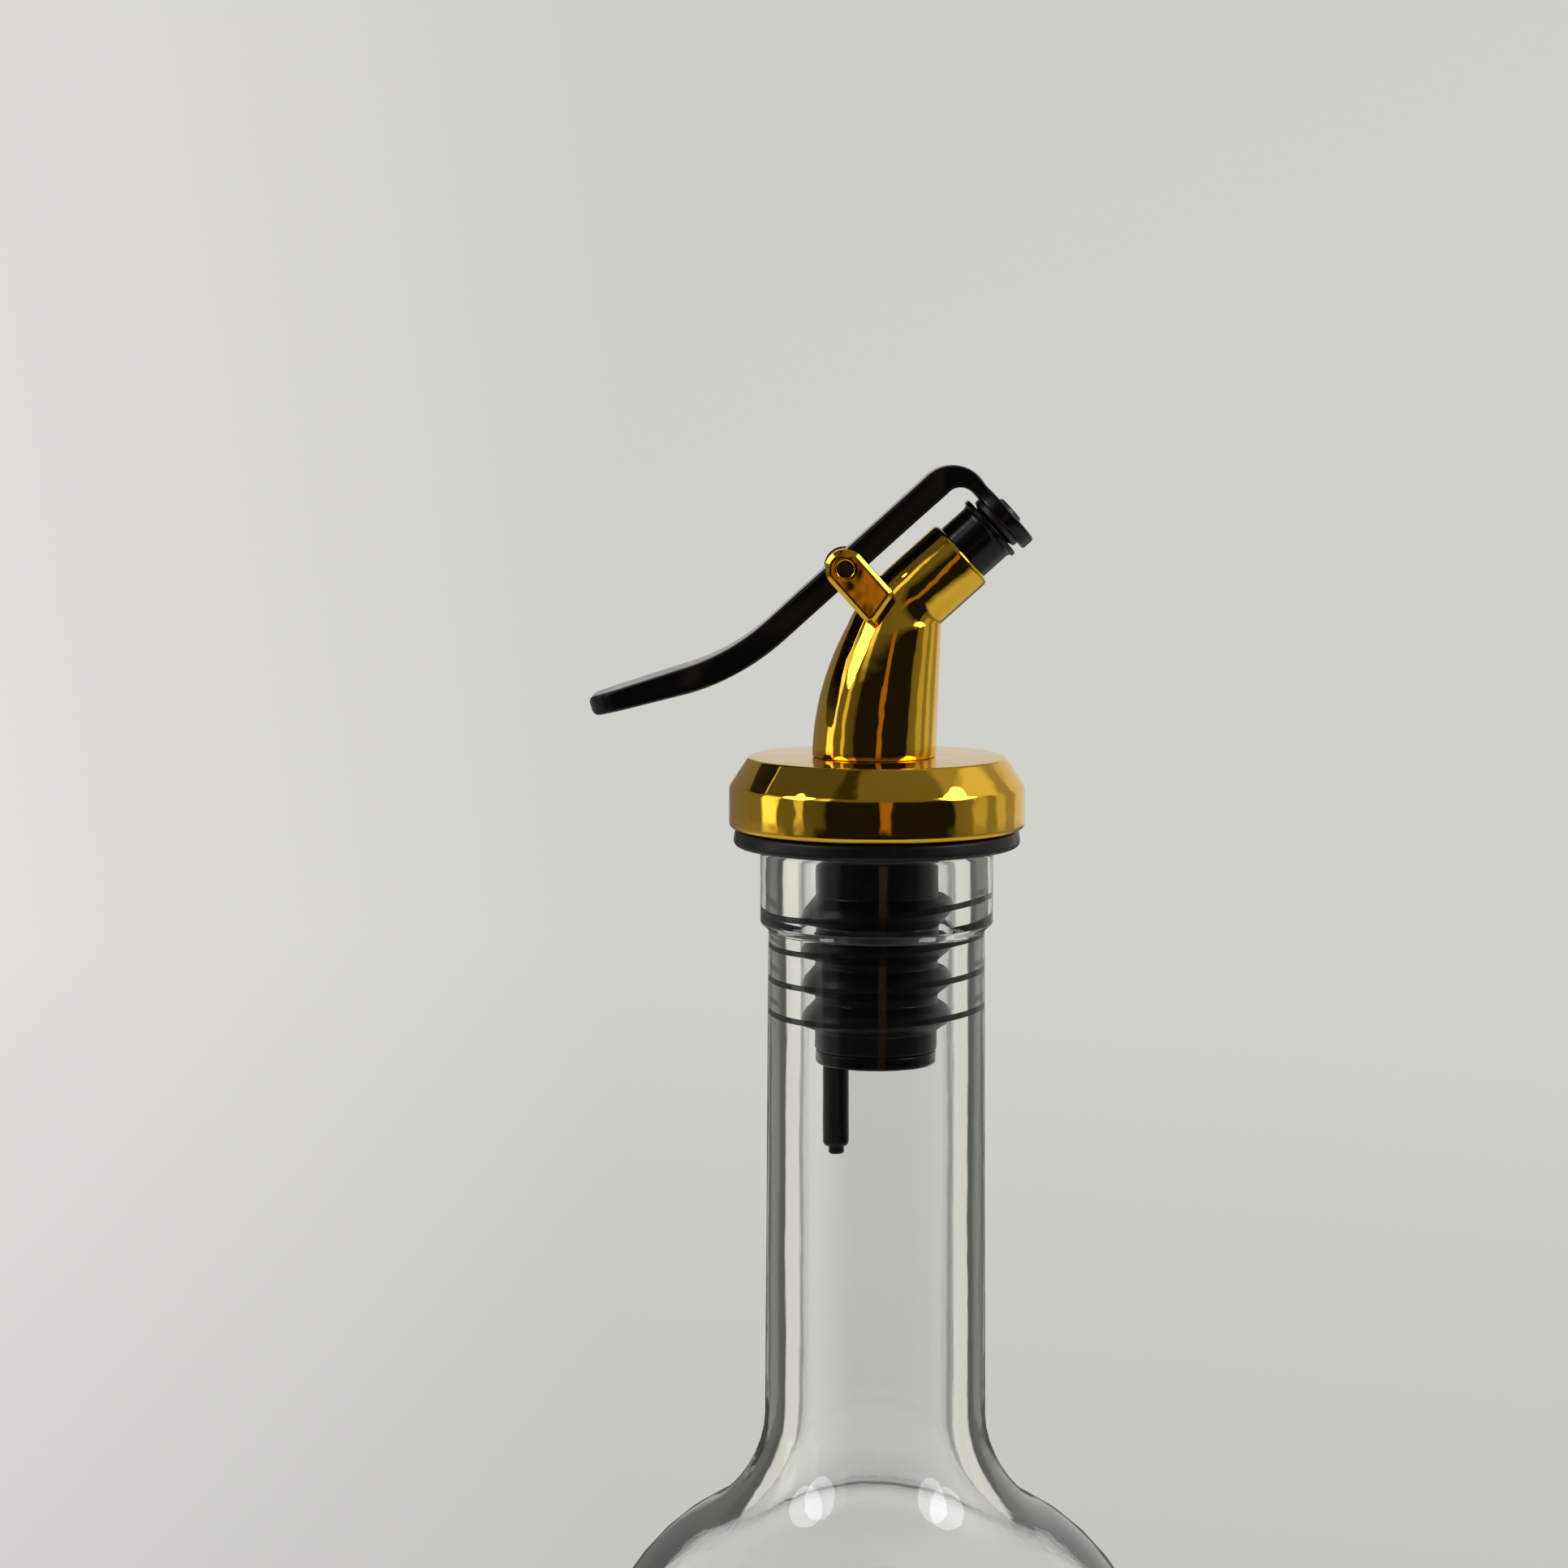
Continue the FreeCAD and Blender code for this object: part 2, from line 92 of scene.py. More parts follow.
def round_corner(mesh, vert, radius):
    """Turn one corner of a wire into an arc of the given radius."""
    first, second = [edge.other_vert(vert).co - vert.co for edge in vert.link_edges]
    half = first.angle(second) / 2
    turn = 180 - 2 * math.degrees(half)
    bmesh.ops.bevel(
        mesh, geom=[vert], offset=radius / math.tan(half), offset_type="OFFSET",
        affect="VERTICES", segments=max(LEAST_STEPS, round(turn / STEP_ANGLE)), profile=0.5,
        material=-1,
    )


def draw_wire(mesh, corners, closed):
    """Wire in the XZ plane through (x, z, rounding) corners in millimetres."""
    verts = [mesh.verts.new((x * MM, 0, z * MM)) for x, z, rounding in corners]
    for vert, following in zip(verts, verts[1:]):
        mesh.edges.new((vert, following))
    if closed:
        mesh.edges.new((verts[-1], verts[0]))
    for vert, (x, z, rounding) in zip(verts, corners):
        if rounding:
            round_corner(mesh, vert, rounding * MM)


def close_up(mesh):
    """Weld seams and poles, then turn every face outward."""
    bmesh.ops.remove_doubles(mesh, verts=mesh.verts[:], dist=WELD)
    bmesh.ops.recalc_face_normals(mesh, faces=mesh.faces[:])


def turned(corners, steps, closed=True, longest=0):
    """Round piece about Z from half a section. Edges over the longest length are cut up."""
    mesh = bmesh.new()
    draw_wire(mesh, corners, closed)
    if longest:
        for edge in mesh.edges[:]:
            cuts = int(edge.calc_length() / (longest * MM))
            if cuts:
                bmesh.ops.subdivide_edges(mesh, edges=[edge], cuts=cuts)
    bmesh.ops.spin(
        mesh, geom=mesh.verts[:] + mesh.edges[:], cent=(0, 0, 0), axis=(0, 0, 1),
        dvec=(0, 0, 0), angle=math.tau, steps=steps, use_merge=True,
    )
    close_up(mesh)
    return mesh


def add_part(mesh, part):
    """Put a second mesh into the first one."""
    carrier = bpy.data.meshes.new("carrier")
    part.to_mesh(carrier)
    part.free()
    mesh.from_mesh(carrier)
    bpy.data.meshes.remove(carrier)


print("Corner arcs take one step for every", STEP_ANGLE, "degrees")

# %% [markdown]
# A finished mesh becomes an object. It is tied to the body of the frame that it rides on, it gets
# its finish, and the solid that it stands for is hidden. Its place stays in its mesh, so the
# object itself sits at the origin, as the solids do, and can be swapped for one of them.

# %% Finish a piece
SHARP_ANGLE = 40.0


def mesh_object(name, mesh):
    """Write a mesh to a new object in the scene."""
    data = bpy.data.meshes.new(name)
    mesh.to_mesh(data)
    mesh.free()
    holder = bpy.data.objects.new(name, data)
    bpy.context.scene.collection.objects.link(holder)
    return holder


def finish_piece(name, mesh, material, body, node):
    """Make a piece of a mesh: shade it, give it its finish and tie it to the frame."""
    piece = mesh_object(name, mesh)
    piece.data.shade_smooth()
    piece.data.set_sharp_from_angle(angle=math.radians(SHARP_ANGLE))
    piece.data.materials.append(material)
    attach(piece, body)
    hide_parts(node)
    size = [round(side / MM, 1) for side in piece.dimensions]
    print(name, "rides on", body, "with", len(piece.data.polygons), "faces, size in mm", size)


print("Edges sharper than", SHARP_ANGLE, "degrees stay crisp")

# %% [markdown]
# ## Tools for finishes
#
# No real surface has one flat value. Noise in object space moves the colour, the roughness
# and the height a little, at the scale that the real cause has: dust, polish marks, mould grain.
# Painted pictures could do it too, but noise needs no files and stays sharp at any distance.

# %% Build a finish from noise


def new_finish(name, **values):
    """Principled material with plain values set on its sockets. Names use _ for a space."""
    material = bpy.data.materials.new(name)
    material.use_nodes = True
    shader = material.node_tree.nodes["Principled BSDF"]
    for socket, value in values.items():
        shader.inputs[socket.replace("_", " ")].default_value = value
    return material


def cloud(material, size, low, high, stretch=(1, 1, 1), window=(0.3, 0.7), detail=4.0):
    """Noise with features of about the given size in millimetres, spread from low to high."""
    nodes = material.node_tree.nodes
    links = material.node_tree.links
    place = nodes.new("ShaderNodeTexCoord")
    shape = nodes.new("ShaderNodeMapping")
    texture = nodes.new("ShaderNodeTexNoise")
    spread = nodes.new("ShaderNodeMapRange")
    shape.inputs["Scale"].default_value = stretch
    texture.inputs["Scale"].default_value = 1 / (size * MM)
    texture.inputs["Detail"].default_value = detail
    spread.inputs["From Min"].default_value = window[0]
    spread.inputs["From Max"].default_value = window[1]
    spread.inputs["To Min"].default_value = low
    spread.inputs["To Max"].default_value = high
    links.new(place.outputs["Object"], shape.inputs["Vector"])
    links.new(shape.outputs["Vector"], texture.inputs["Vector"])
    links.new(texture.outputs["Fac"], spread.inputs["Value"])
    return spread.outputs["Result"]


def colour_by(material, driver, first, second):
    """Base colour that runs from the first to the second colour as the driver goes 0 to 1."""
    ramp = material.node_tree.nodes.new("ShaderNodeValToRGB")
    ramp.color_ramp.elements[0].color = (*first, 1)
    ramp.color_ramp.elements[1].color = (*second, 1)
    shader = material.node_tree.nodes["Principled BSDF"]
    material.node_tree.links.new(driver, ramp.inputs["Fac"])
    material.node_tree.links.new(ramp.outputs["Color"], shader.inputs["Base Color"])


def roughness_by(material, driver):
    """Roughness that follows the driver."""
    shader = material.node_tree.nodes["Principled BSDF"]
    material.node_tree.links.new(driver, shader.inputs["Roughness"])


def bump_by(material, driver, depth):
    """Small height that follows the driver, in millimetres from 0 to 1."""
    bump = material.node_tree.nodes.new("ShaderNodeBump")
    bump.inputs["Distance"].default_value = depth * MM
    shader = material.node_tree.nodes["Principled BSDF"]
    material.node_tree.links.new(driver, bump.inputs["Height"])
    material.node_tree.links.new(bump.outputs["Normal"], shader.inputs["Normal"])


print("Finishes are noise in object space, in millimetres")

# %% [markdown]
# ## The glass
#
# A machine-blown bottle has a smooth, moulded outside and a wavy inside, because only the
# outside touches the mould. The waves bend what is seen through the neck, so they are worth
# modelling: the inner wall moves in and out by a few hundredths of a millimetre.
#
# The tint of soda glass comes from iron. It is set as absorption inside the volume, so thick
# places look greener than thin ones.

# %% Clear glass
clear_glass = new_finish(
    "clear_glass", Base_Color=(1, 1, 1, 1), Transmission_Weight=1.0, IOR=1.52, Roughness=0.0,
)
roughness_by(clear_glass, cloud(clear_glass, 14, 0.0, 0.008, window=(0.5, 0.8)))
bump_by(clear_glass, cloud(clear_glass, 9, 0, 1, stretch=(1, 1, 0.3)), 0.03)
tint = clear_glass.node_tree.nodes.new("ShaderNodeVolumeAbsorption")
tint.inputs["Color"].default_value = (0.72, 0.9, 0.76, 1)
tint.inputs["Density"].default_value = 9.0
glass_output = clear_glass.node_tree.nodes["Material Output"]
clear_glass.node_tree.links.new(tint.outputs["Volume"], glass_output.inputs["Volume"])
print("Glass absorbs", tint.inputs["Density"].default_value, "per metre")

# %% [markdown]
# The section of the bottle runs from the middle of the punt, the hollow under the base, out
# along the foot, up the outside to the rim, and down the inside to the middle again. A cylinder
# could be pulled into this shape, but a section keeps every size in one list, and the wall has
# its true thickness everywhere. Long edges are cut up, so that the inner wall has enough points
# to carry its waves. Only points that face the axis are moved.

# %% Blow the bottle
GLASS_HEIGHT = 309.4
BODY_RADIUS = 36.0
BODY_WALL = 3.0
NECK_RADIUS = 13.25
NECK_ROOT_RADIUS = 13.75
BORE_RADIUS = 9.35
SHOULDER_TOP = 229.3
SHOULDER_LOW = 217.5
INNER_DROP = 1.7
PUNT_HEIGHT = 10.0
PUNT_RADIUS = 26.0
PUNT_FLAT = 14.3
BASE_THICKNESS = 5.0
FINISH_RADIUS = 14.25
FINISH_LOW = 299.1
FINISH_STEP = 0.9
BASE_ROUND = 6.0
SHOULDER_ROUND = 26.3
NECK_ROUND = 15.0
GLASS_STEPS = 128
LONGEST_EDGE = 3.0
INWARD = -0.5
WAVE_DEPTH = 0.07
WAVE_WIDTH = 7.0
WAVE_LENGTH = 16.0

inner_radius = BODY_RADIUS - BODY_WALL
glass_corners = [
    (0, PUNT_HEIGHT, 0),
    (PUNT_FLAT, PUNT_HEIGHT, 12),
    (PUNT_RADIUS, 0, 3),
    (BODY_RADIUS, 0, BASE_ROUND),
    (BODY_RADIUS, SHOULDER_LOW, SHOULDER_ROUND),
    (NECK_ROOT_RADIUS, SHOULDER_TOP, NECK_ROUND),
    (NECK_RADIUS, FINISH_LOW, 0.6),
    (FINISH_RADIUS, FINISH_LOW + FINISH_STEP, 0.4),
    (FINISH_RADIUS, GLASS_HEIGHT, 1.0),
    (BORE_RADIUS, GLASS_HEIGHT, 0.8),
    (BORE_RADIUS, SHOULDER_TOP - INNER_DROP, NECK_ROUND + BODY_WALL),
    (inner_radius, SHOULDER_LOW - INNER_DROP, SHOULDER_ROUND - BODY_WALL),
    (inner_radius, BASE_THICKNESS, 7),
    (PUNT_RADIUS, BASE_THICKNESS, 4),
    (PUNT_FLAT, PUNT_HEIGHT + BASE_THICKNESS, 9),
    (0, PUNT_HEIGHT + BASE_THICKNESS, 0),
]
glass = turned(glass_corners, GLASS_STEPS, closed=False, longest=LONGEST_EDGE)
glass.normal_update()
moved = 0
for vert in glass.verts:
    outward = Vector((vert.co.x, vert.co.y, 0))
    if outward.length == 0 or vert.normal.dot(outward) > INWARD * outward.length:
        continue
    outward.normalize()
    wave = noise.noise((vert.co.x / (WAVE_WIDTH * MM), vert.co.y / (WAVE_WIDTH * MM),
                        vert.co.z / (WAVE_LENGTH * MM)))
    vert.co += outward * (wave * WAVE_DEPTH * MM)
    moved += 1
finish_piece("bottle_glass", glass, clear_glass, "bottle", "glass_bottle")
print(moved, "points of the inner wall carry waves up to", WAVE_DEPTH, "mm")

# %% [markdown]
# ## The stopper
#
# A rubber sleeve sits on the core of the pourer. Its fins are a little wider than the bore,
# so they bend and press on the glass. Where rubber touches glass, the glass no longer
# reflects inside, and a black line crosses the whole width of the neck. Here the fin tips
# reach just into the glass to give that line. They lean a little, because a stopper is
# pushed in by hand and never quite straight.

# %% Black rubber
black_rubber = new_finish("black_rubber", Specular_IOR_Level=0.3)
colour_by(black_rubber, cloud(black_rubber, 3, 0, 1), (0.002, 0.002, 0.0025), (0.006, 0.006, 0.0065))
roughness_by(black_rubber, cloud(black_rubber, 2, 0.3, 0.46))
bump_by(black_rubber, cloud(black_rubber, 0.35, 0, 1), 0.006)
print("Rubber is satin, with a fine grain")

# %% [markdown]
# A loop adds the fins to the section of the sleeve, from the lowest to the highest, because
# they are all alike. The flange that rests on the glass rim closes the section. After the spin,
# points beyond the sleeve's own radius are raised on one side and lowered on the other. That
# leans the fins and leaves the sleeve straight, and the lean gets smaller from fin to fin
# downwards.

# %% Turn the sleeve
SLEEVE_RADIUS = 7.5
SLEEVE_HOLE = 6.55
SLEEVE_LOW = 284.6
FIN_RADIUS = 9.42
FIN_COUNT = 4
FIN_PITCH = 4.35
FIRST_FIN_HEIGHT = 301.9
FIN_ROOT = 1.75
FIN_SHOULDER_RADIUS = 8.75
FIN_SHOULDER = 0.95
FIN_TIP = 0.3
FIN_LEAN = 0.115
FIN_LEAN_LOSS = 0.022
FLANGE_RADIUS = 17.6
FLANGE_TOP = 311.5
FLANGE_TAPER = 0.3
SLEEVE_STEPS = 96
TIP_MARGIN = 0.01

sleeve_corners = [(SLEEVE_HOLE, SLEEVE_LOW, 0), (SLEEVE_RADIUS, SLEEVE_LOW, 0.3)]
for index in reversed(range(FIN_COUNT)):
    height = FIRST_FIN_HEIGHT - index * FIN_PITCH
    sleeve_corners += [
        (SLEEVE_RADIUS, height - FIN_ROOT, 0.3),
        (FIN_SHOULDER_RADIUS, height - FIN_SHOULDER, 0.4),
        (FIN_RADIUS, height - FIN_TIP, 0.12),
        (FIN_RADIUS, height + FIN_TIP, 0.12),
        (FIN_SHOULDER_RADIUS, height + FIN_SHOULDER, 0.4),
        (SLEEVE_RADIUS, height + FIN_ROOT, 0.3),
    ]
sleeve_corners += [
    (SLEEVE_RADIUS, GLASS_HEIGHT, 0.4),
    (FLANGE_RADIUS, GLASS_HEIGHT, 0.7),
    (FLANGE_RADIUS - FLANGE_TAPER, FLANGE_TOP, 0.6),
    (SLEEVE_HOLE, FLANGE_TOP, 0),
]
sleeve = turned(sleeve_corners, SLEEVE_STEPS)
for vert in sleeve.verts:
    beyond = (math.hypot(vert.co.x, vert.co.y) / MM - SLEEVE_RADIUS) / (FIN_RADIUS - SLEEVE_RADIUS)
    if 0 < beyond < 1 + TIP_MARGIN:
        below = max(0, (FIRST_FIN_HEIGHT - vert.co.z / MM) / FIN_PITCH)
        vert.co.z += vert.co.x * (FIN_LEAN - FIN_LEAN_LOSS * below) * beyond
finish_piece("stopper_rubber", sleeve, black_rubber, "stopper", "stopper_sleeve")

# %% [markdown]
# The core is mostly hidden inside the sleeve, the collar and the spout, so its solid is shown
# as it is, with the plastic finish. Only the bead below the sleeve can be seen through the glass.
# The air tube hangs below it. It lets air in while the bottle pours. It is turned upright on the
# axis and then moved to its place beside it, which is simpler than turning it there.

# %% Black plastic, core and air tube
black_plastic = new_finish("black_plastic", Specular_IOR_Level=0.27)
colour_by(black_plastic, cloud(black_plastic, 0.9, 0, 1, window=(0.66, 0.8)),
          (0.0025, 0.0025, 0.003), (0.008, 0.008, 0.009))
roughness_by(black_plastic, cloud(black_plastic, 4, 0.12, 0.22))
bump_by(black_plastic, cloud(black_plastic, 0.5, 0, 1), 0.002)

for slot_place in frame["nodes"]["core_stem"].material_slots:
    slot_place.material = black_plastic

STOPPER_LOW = 282.9
VENT_OFFSET = -4.95
VENT_LENGTH = 11.6
VENT_RADIUS = 1.6
VENT_TIP_RADIUS = 0.95
VENT_TIP_LENGTH = 1.0
VENT_BORE = 0.55
VENT_SPIGOT_TOP = 12.0
VENT_STEPS = 48

vent = turned([
    (VENT_BORE, -VENT_LENGTH, 0.1),
    (VENT_TIP_RADIUS, -VENT_LENGTH, 0.35),
    (VENT_TIP_RADIUS, VENT_TIP_LENGTH - VENT_LENGTH, 0.1),
    (VENT_RADIUS, VENT_TIP_LENGTH - VENT_LENGTH, 0.6),
    (VENT_RADIUS, 0, 0),
    (VENT_TIP_RADIUS, 0, 0),
    (VENT_TIP_RADIUS, VENT_SPIGOT_TOP, 0),
    (VENT_BORE, VENT_SPIGOT_TOP, 0),
], VENT_STEPS)
vent_place = Matrix.Translation((VENT_OFFSET * MM, 0, STOPPER_LOW * MM))
bmesh.ops.transform(vent, matrix=vent_place, verts=vent.verts)
finish_piece("air_tube", vent, black_plastic, "head", "vent_tube")

# %% [markdown]
# ## The gold pieces
#
# The collar and the spout are plastic mouldings with a bright plating. A plated mirror shows its
# surroundings, so most of the look comes from the light in the room. The plating itself only
# adds its colour, a slight waviness of the moulding under it, and fine wipe marks.

# %% Gold plate
gold_plate = new_finish("gold_plate", Metallic=1.0)
colour_by(gold_plate, cloud(gold_plate, 6, 0, 1), (0.85, 0.49, 0.036), (0.89, 0.54, 0.052))
roughness_by(gold_plate, cloud(gold_plate, 3, 0.015, 0.045))
bump_by(gold_plate, cloud(gold_plate, 5, 0, 1, detail=2.0), 0.045)
print("Gold is polished, with roughness from 0.015 to 0.045")

# %% [markdown]
# The collar is a hollow cap with a flat top, a broad bevel, and a straight skirt down to the
# rubber flange. A cylinder with a bevelled edge would give the outside. Turning a section gives
# the inside as well, and small roundings that catch the light along every edge.

# %% Turn the collar
COLLAR_RADIUS = 18.1
COLLAR_LOW = 311.6
COLLAR_TOP = 320.3
COLLAR_WALL = 1.7
PLATEAU_RADIUS = 15.7
BEVEL_LOW = 316.7
INNER_BEVEL_DROP = 0.6
INNER_BEVEL_INSET = 0.9
CORE_RADIUS = 6.5
COLLAR_STEPS = 144

collar = turned([
    (CORE_RADIUS, COLLAR_TOP, 0),
    (PLATEAU_RADIUS, COLLAR_TOP, 0.5),
    (COLLAR_RADIUS, BEVEL_LOW, 1.2),
    (COLLAR_RADIUS, COLLAR_LOW, 0.8),
    (COLLAR_RADIUS - COLLAR_WALL, COLLAR_LOW, 0.2),
    (COLLAR_RADIUS - COLLAR_WALL, BEVEL_LOW - INNER_BEVEL_DROP, 0),
    (PLATEAU_RADIUS - INNER_BEVEL_INSET, COLLAR_TOP - COLLAR_WALL, 0),
    (CORE_RADIUS, COLLAR_TOP - COLLAR_WALL, 0),
], COLLAR_STEPS)
finish_piece("collar_gold", collar, gold_plate, "head", "collar_disc")

# %% [markdown]
# ## The spout
#
# The spout is an elbow. Its mouth and the lever above it share one slant, so both are measured
# from the hinge, along the arm of the lever and square to it. Two matrices carry pieces from
# there to the bottle's frame. Slanted places could be worked out one by one, but then the real
# sizes would be lost in sines and cosines.

# %% Places along the arm and the nozzle
TILT = 42.0
PIVOT_X = -4.0
PIVOT_Z = 343.3
TUBE_RADIUS = 4.65
NOZZLE_DROP = 8.25
MOUTH_REACH = 11.8

on_lever = (Matrix.Translation((PIVOT_X * MM, 0, PIVOT_Z * MM))
            @ Matrix.Rotation(math.radians(-TILT), 4, "Y"))
on_nozzle = (on_lever @ Matrix.Translation((MOUTH_REACH * MM, 0, -NOZZLE_DROP * MM))
             @ Matrix.Rotation(math.radians(90), 4, "Y"))


def lever_point(along, above):
    """Point on the middle plane, along the arm and square to it from the hinge, in millimetres."""
    point = on_lever @ Vector((along * MM, 0, above * MM))
    return point.x / MM, point.z / MM


mouth_x, mouth_z = lever_point(MOUTH_REACH, -NOZZLE_DROP)
print(f"The mouth is at x {mouth_x:.1f}, z {mouth_z:.1f} mm")

# %% [markdown]
# The elbow is a stack of circles: level ones up the foot, then a fan of them about the sharp
# crease under the bend, then the straight tube to the mouth. At the mouth they turn in over the
# rim, and the same circles, smaller by the wall, go back down inside. A bevelled curve would be
# quicker, but it can't turn in a sharp crease.

# %% Plan the circles of the spout
SPOUT_WALL = 0.8
FOOT_FRONT = 7.2
FOOT_BACK = -7.9
CREASE_REACH = 4.4
CREASE_RADIUS = 0.35
THROAT = 11.4
FOOT_STEPS = 16
FAN_STEPS = 28
EDGE_STEPS = 5
FOOT_ROUND = 0.25
RIM_OUTER_ROUND = 0.6
RIM_INNER_ROUND = 0.15
BEND = 90 - TILT


def spout_places():
    """(x, z, radius, lean) of the circles from the foot to the mouth."""
    crease_x, crease_z = lever_point(CREASE_REACH, -NOZZLE_DROP - TUBE_RADIUS - CREASE_RADIUS)
    crease_front = crease_x - CREASE_RADIUS
    places = []
    for step in range(FOOT_STEPS):
        part = step / FOOT_STEPS
        height = COLLAR_TOP + (crease_z - COLLAR_TOP) * part
        front = FOOT_FRONT + (crease_front - FOOT_FRONT) * part
        back = FOOT_BACK + (crease_front - THROAT - FOOT_BACK) * part ** 2
        places.append(((front + back) / 2, height, (front - back) / 2, 0))
    for step in range(FAN_STEPS + 1):
        part = step / FAN_STEPS
        angle = math.radians(BEND * part)
        radius = TUBE_RADIUS + (THROAT / 2 - TUBE_RADIUS) * (1 - part) ** 2
        reach = CREASE_RADIUS + radius
        places.append((crease_x - reach * math.cos(angle), crease_z + reach * math.sin(angle),
                       radius, BEND * part))
    return places


def mouth_places():
    """Circles round the rim of the mouth, from the outside to the inside of the wall."""
    arcs = (
        (TUBE_RADIUS - RIM_OUTER_ROUND, RIM_OUTER_ROUND, 0),
        (TUBE_RADIUS - SPOUT_WALL + RIM_INNER_ROUND, RIM_INNER_ROUND, 90),
    )
    places = []
    for centre, rounding, start in arcs:
        for step in range(EDGE_STEPS + 1):
            angle = math.radians(start + 90 * step / EDGE_STEPS)
            reach = MOUTH_REACH + rounding * (math.sin(angle) - 1)
            x, z = lever_point(reach, -NOZZLE_DROP)
            places.append((x, z, centre + rounding * math.cos(angle), BEND))
    return places


def foot_places(x, z, radius, lean):
    """Circles round the lower edge of the foot."""
    places = []
    for step in range(EDGE_STEPS):
        angle = math.radians(90 * step / EDGE_STEPS)
        places.append((x, z + FOOT_ROUND * (1 - math.cos(angle)),
                       radius + FOOT_ROUND * (math.sin(angle) - 1), lean))
    return places


outside = spout_places()
inside = [(x, z, radius - SPOUT_WALL, lean) for x, z, radius, lean in reversed(outside)]
skin_circles = foot_places(*outside[0]) + outside[1:] + mouth_places() + inside
print("The spout's skin has", len(skin_circles), "circles")

# %% [markdown]
# One circle of edges is extruded from place to place. Each place is a matrix that moves, leans
# and scales a circle of radius 1. The newest loop of edges moves by the change between two such
# matrices, so one short loop makes the whole skin. The last loop is bridged to the first.

# %% Sweep the spout
SPOUT_STEPS = 96


def ring_place(x, z, radius, lean):
    """Matrix that lays a circle of radius 1 across the spout."""
    return (Matrix.Translation((x * MM, 0, z * MM)) @ Matrix.Rotation(math.radians(lean), 4, "Y")
            @ Matrix.Scale(radius * MM, 4))


def verts_in(geometry):
    """Vertices among mixed geometry."""
    return [item for item in geometry if isinstance(item, bmesh.types.BMVert)]


def edges_in(geometry):
    """Edges among mixed geometry."""
    return [item for item in geometry if isinstance(item, bmesh.types.BMEdge)]


def sweep(mesh, ring, places):
    """Extrude a loop of edges from place to place and return the last loop."""
    for before, after in zip(places, places[1:]):
        grown = bmesh.ops.extrude_edge_only(mesh, edges=ring)["geom"]
        fresh = verts_in(grown)
        bmesh.ops.transform(mesh, matrix=after @ before.inverted(), verts=fresh)
        ring = [edge for edge in edges_in(grown) if set(fresh).issuperset(edge.verts)]
    return ring


skin_places = [ring_place(*circle) for circle in skin_circles]
spout = bmesh.new()
bmesh.ops.create_circle(spout, cap_ends=False, segments=SPOUT_STEPS, radius=1, matrix=skin_places[0])
first_ring = spout.edges[:]
last_ring = sweep(spout, first_ring, skin_places)
bmesh.ops.bridge_loops(spout, edges=first_ring + last_ring)
close_up(spout)
print("The spout's skin has", len(spout.faces), "faces")

# %% [markdown]
# Two ears on the spout carry the hinge pin. Each is a plate with a round top and a hole: an
# outline and a circle, filled between and then given thickness. A cylinder cut out with a Boolean
# would give the hole too, but a filled outline has clean edges to bevel. One ear is made here.

# %% Draw the ear
EAR_WIDTH = 4.8
EAR_BACK_LENGTH = 7.2
EAR_FRONT_LENGTH = 6.1
EAR_CORNER = 0.8
EAR_INNER = 3.5
EAR_OUTER = 6.1
EAR_HOLE = 1.0
EAR_HOLE_STEPS = 40
SHORTEST_EDGE = 0.03
TINY = 0.01

half = EAR_WIDTH / 2
ear = bmesh.new()
draw_wire(ear, [
    (-half, -EAR_BACK_LENGTH, EAR_CORNER),
    (half, -EAR_FRONT_LENGTH, EAR_CORNER),
    (half, half, half - TINY),
    (-half, half, half - TINY),
], closed=True)
bmesh.ops.create_circle(ear, cap_ends=False, segments=EAR_HOLE_STEPS, radius=EAR_HOLE * MM,
                        matrix=Matrix.Rotation(math.radians(90), 4, "X"))
bmesh.ops.remove_doubles(ear, verts=ear.verts[:], dist=SHORTEST_EDGE * MM)
bmesh.ops.triangle_fill(ear, use_beauty=True, edges=ear.edges[:])
bmesh.ops.translate(ear, verts=ear.verts, vec=(0, EAR_INNER * MM, 0))
outer_verts = verts_in(bmesh.ops.extrude_face_region(ear, geom=ear.faces[:])["geom"])
bmesh.ops.translate(ear, verts=outer_verts, vec=(0, (EAR_OUTER - EAR_INNER) * MM, 0))
bmesh.ops.recalc_face_normals(ear, faces=ear.faces[:])
print("The plate of the ear has", len(ear.faces), "faces")

# %% [markdown]
# The outline of the ear has a flat chamfer, which shines as one broad strip where a round edge
# would show a thin line. A bevel with a profile of 0.25 is straight, and one of 0.5 is a quarter
# circle. The straight one comes out at 45 degrees, and moving its points outward makes it
# shallower. The hole gets a round edge. Then two insets of the outer face leave a raised rim
# along the outline and a raised boss round the hole. A mirror makes the second ear.

# %% Shape the ears
EAR_EDGE = 0.5
EAR_SLOPE = 0.75
EAR_RIM = 0.12
EAR_WALL = 0.12
EAR_SINK = 0.4
EAR_HOLE_EDGE = 0.22
HOLE_MARGIN = 0.1
CREASE_ANGLE = 1.0
STRAIGHT_OUT = 0.999
BEVEL_STEPS = 4
FLAT = 0.25
ROUND = 0.5


def bevel_edges(mesh, edges, width, profile):
    """Bevel the given edges to a width in millimetres, with a flat or a round profile."""
    bmesh.ops.bevel(
        mesh, geom=edges, offset=width * MM, offset_type="OFFSET", affect="EDGES",
        segments=BEVEL_STEPS, profile=profile, material=-1, clamp_overlap=False,
    )


def creased(mesh):
    """Edges where two faces meet at an angle over the crease angle, in radians."""
    return [edge for edge in mesh.edges if edge.calc_face_angle() > CREASE_ANGLE]


def at_outer_side(place):
    """Whether a place lies on the outer side of the ear."""
    return place.y > (EAR_OUTER - TINY) * MM


